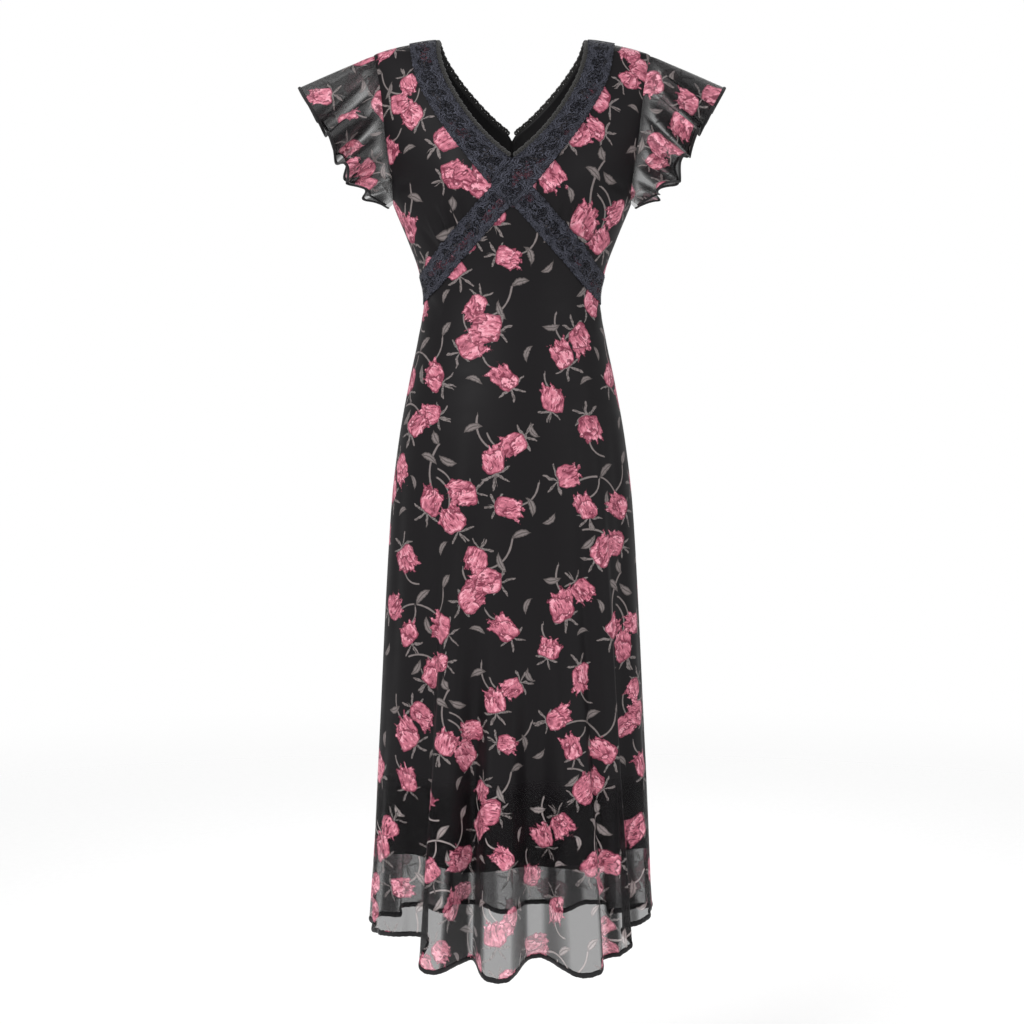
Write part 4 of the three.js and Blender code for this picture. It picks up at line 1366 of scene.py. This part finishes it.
sleeveEdge = table("along x y z", [
    (0.5, 271, 0, -68),
    (0.44, 261, 24, -85),
    (0.36, 240, 48, -116),
    (0.28, 222, 62, -145),
    (0.2, 204, 66, -175),
    (0.12, 180, 55, -199),
    (0.03, 157, 22, -214),
])
sleeveFlutes = {
    "left": table("along reach width", [
        (0.1, 9, 0.045),
        (0.2, 17, 0.045),
        (0.295, 17, 0.042),
        (0.375, 15, 0.036),
        (0.445, 11, 0.032),
        (0.58, 14, 0.045),
        (0.68, 17, 0.045),
        (0.785, 16, 0.045),
        (0.88, 10, 0.045),
    ]),
    "right": table("along reach width", [
        (0.09, 8, 0.04),
        (0.18, 15, 0.042),
        (0.27, 18, 0.045),
        (0.365, 13, 0.04),
        (0.57, 14, 0.045),
        (0.67, 17, 0.045),
        (0.77, 16, 0.045),
        (0.87, 10, 0.045),
    ]),
}
sleeve = {"start": 0.05, "tuckTurn": 0.6, "tuckDepth": 0.9, "settle": 9, "growth": 0.75, "deeper": 2.3,
          "gathers": 0.9, "beats": (190, 77), "close": 0.8, "closeDown": 0.3, "closeTop": 0.5,
          "shoulderWide": 0.07, "shoulderCrest": 0.4, "columns": 190, "rows": 30, "foot": 0.98,
          "middle": (165, 0, -190), "hemTall": 4.2, "hemThick": 2.2, "hemAt": 0.978, "hemRings": 300}
sleeveOrigins = {"left": (180, 220), "right": (150, 250)}
sleeveX, sleeveY, sleeveZ = (track(sleeveEdge, "along", key) for key in "xyz")


def armholePoint(along):
    rise = 0.5 - 0.5 * np.cos(2 * np.pi * along)
    z = armhole["bottom"] + (armhole["top"] - armhole["bottom"]) * rise
    gape = armhole["open"] * np.abs(np.sin(2 * np.pi * along)) ** armhole["roundness"] + sleeve["tuckTurn"]
    turn = np.where(along < 0.5, 90 - gape, 90 + gape)
    return figurePoint(turn, z) - outward(figurePoint, turn, z) * sleeve["tuckDepth"]


def sleeveEdgePoint(along):
    near = np.minimum(along, 1 - along)
    forward = np.where(along < 0.5, -1, 1)
    return np.stack([sleeveX(near), forward * sleeveY(near), sleeveZ(near)], axis=-1)


def sleevePoint(along, down, fluteRows):
    seam, edge = armholePoint(along), sleeveEdgePoint(along)
    rib = edge - seam
    edgeRun = sleeveEdgePoint(along + 0.01) - sleeveEdgePoint(along - 0.01)
    out = unit(np.cross(edgeRun, rib))
    wave = -sleeve["settle"] * np.sin(np.pi * along)
    for flute in fluteRows:
        wave = wave + sleeve["deeper"] * flute["reach"] * bump(along - flute["along"], flute["width"])
    fall = np.maximum(down, 0)
    beat, slowBeat = sleeve["beats"]
    gathers = sleeve["gathers"] * np.sin(along * beat) * np.sin(along * slowBeat + 1)
    gathers = gathers * (1 - fall) ** 2 * smooth(fall, 0, 0.12)
    point = seam + rib * down[..., None]
    return point + out * (wave * fall ** sleeve["growth"] + gathers)[..., None]


for label, side in sides.items():
    mirror = np.array([side, 1, 1])
    fluteRows = sleeveFlutes[label]
    along = np.linspace(sleeve["start"], 1 - sleeve["start"], sleeve["columns"])[None, :]
    down = np.linspace(0, sleeve["foot"], sleeve["rows"])[:, None]
    along, down = along + 0 * down, down + 0 * along
    points = sleevePoint(along, down, fluteRows) * mirror
    middle = np.array(sleeve["middle"]) * mirror
    name = f"sleeve_{label}Flutter"
    # painted shade: the sleeve film is made denser, and so darker, near the armhole seam and over the
    # shoulder, standing in for gathers there
    gatheredShade = sleeve["close"] * (1 - smooth(down, 0, sleeve["closeDown"]))
    shoulder = bump(along - 0.5, sleeve["shoulderWide"], sleeve["shoulderCrest"])
    gatheredShade = np.maximum(gatheredShade, sleeve["closeTop"] * shoulder)
    printedPanel(
        name, f"sleeve_{label}", points, lambda p: p - middle, sleeveOrigins[label], "sleeve", gatheredShade
    )
    edgeAlong = np.linspace(sleeve["start"], 1 - sleeve["start"], sleeve["hemRings"])
    low = 0 * edgeAlong + sleeve["hemAt"]
    centre = sleevePoint(edgeAlong, low, fluteRows)
    above, below = (sleevePoint(edgeAlong, low + step, fluteRows) for step in (-0.01, 0.01))
    slope = unit(below - above)
    normal = unit(np.cross(np.gradient(centre, axis=0), slope))
    course = (centre * mirror, slope * mirror, normal * mirror)
    points, faces = ovalTube(*course, sleeve["hemTall"], sleeve["hemThick"])
    hem = edging(f"sleeveHem_{label}", f"sleeve_hem_{label}", points, faces, "hem")
print("sleeves set in")

studio = {"floorZ": -1480, "floorRadius": 4200, "fadeFrom": 1.2, "fadeTo": 4.0, "ambient": 0.62, "seen": 1.0,
          "floorGlow": 0.16, "aim": (0, 0, -500)}

bpy.ops.object.select_all(action="DESELECT")
bpy.ops.mesh.primitive_circle_add(
    vertices=96, radius=studio["floorRadius"] * mm, fill_type="NGON", location=(0, 0, studio["floorZ"] * mm)
)
floor = bpy.context.object
floor.name = "paleFloor"
bpy.ops.object.transform_apply(location=True, rotation=False, scale=False)
paper, n, shader = newMaterial("palePaper", 0.1)
floorX, floorY, _ = n.parts(n.objectPlace())
speck = n.noise(n.scaled(n.objectPlace(), 60.0), 1.0)
n.feed(shader.inputs["Base Color"], n.mix(speck, (0.9, 0.9, 0.9), (0.94, 0.94, 0.94)))
fade = n.step(n.reach(floorX, floorY), studio["fadeFrom"], studio["fadeTo"], 1.0, 0.0)
glow = {"Emission Color": (1, 1, 1, 1), "Emission Strength": studio["floorGlow"]}
n.feedAll(shader, {"Alpha": fade, "Roughness": 0.9, **glow})
floor.data.materials.append(paper)

world = bpy.data.worlds.new("softRoom")
bpy.context.scene.world = world
world.use_nodes = True
background = next(node for node in world.node_tree.nodes if node.type == "BACKGROUND")
background.inputs["Color"].default_value = (1, 1, 1, 1)
room = NodeDesk(world.node_tree)
seen = room.add("ShaderNodeLightPath").outputs["Is Camera Ray"]
strength = room.fit(seen, studio["seen"] - studio["ambient"], studio["ambient"])
room.feed(background.inputs["Strength"], strength)

lamps = table("name place size watts", [
    ("keyLight", (-1500, -2200, 900), 1400, 46),
    ("fillLight", (1900, -1700, 100), 1800, 14),
    ("backLight", (500, 2200, 900), 1600, 24),
])
for lamp in lamps:
    bpy.ops.object.light_add(type="AREA", location=Vector(lamp["place"]) * mm)
    light = bpy.context.object
    light.name = lamp["name"]
    light.data.size = lamp["size"] * mm
    light.data.energy = lamp["watts"]
    aimAt(light, lamp["place"], studio["aim"])
bpy.context.scene.view_settings.view_transform = "Standard"
print("studio lit")
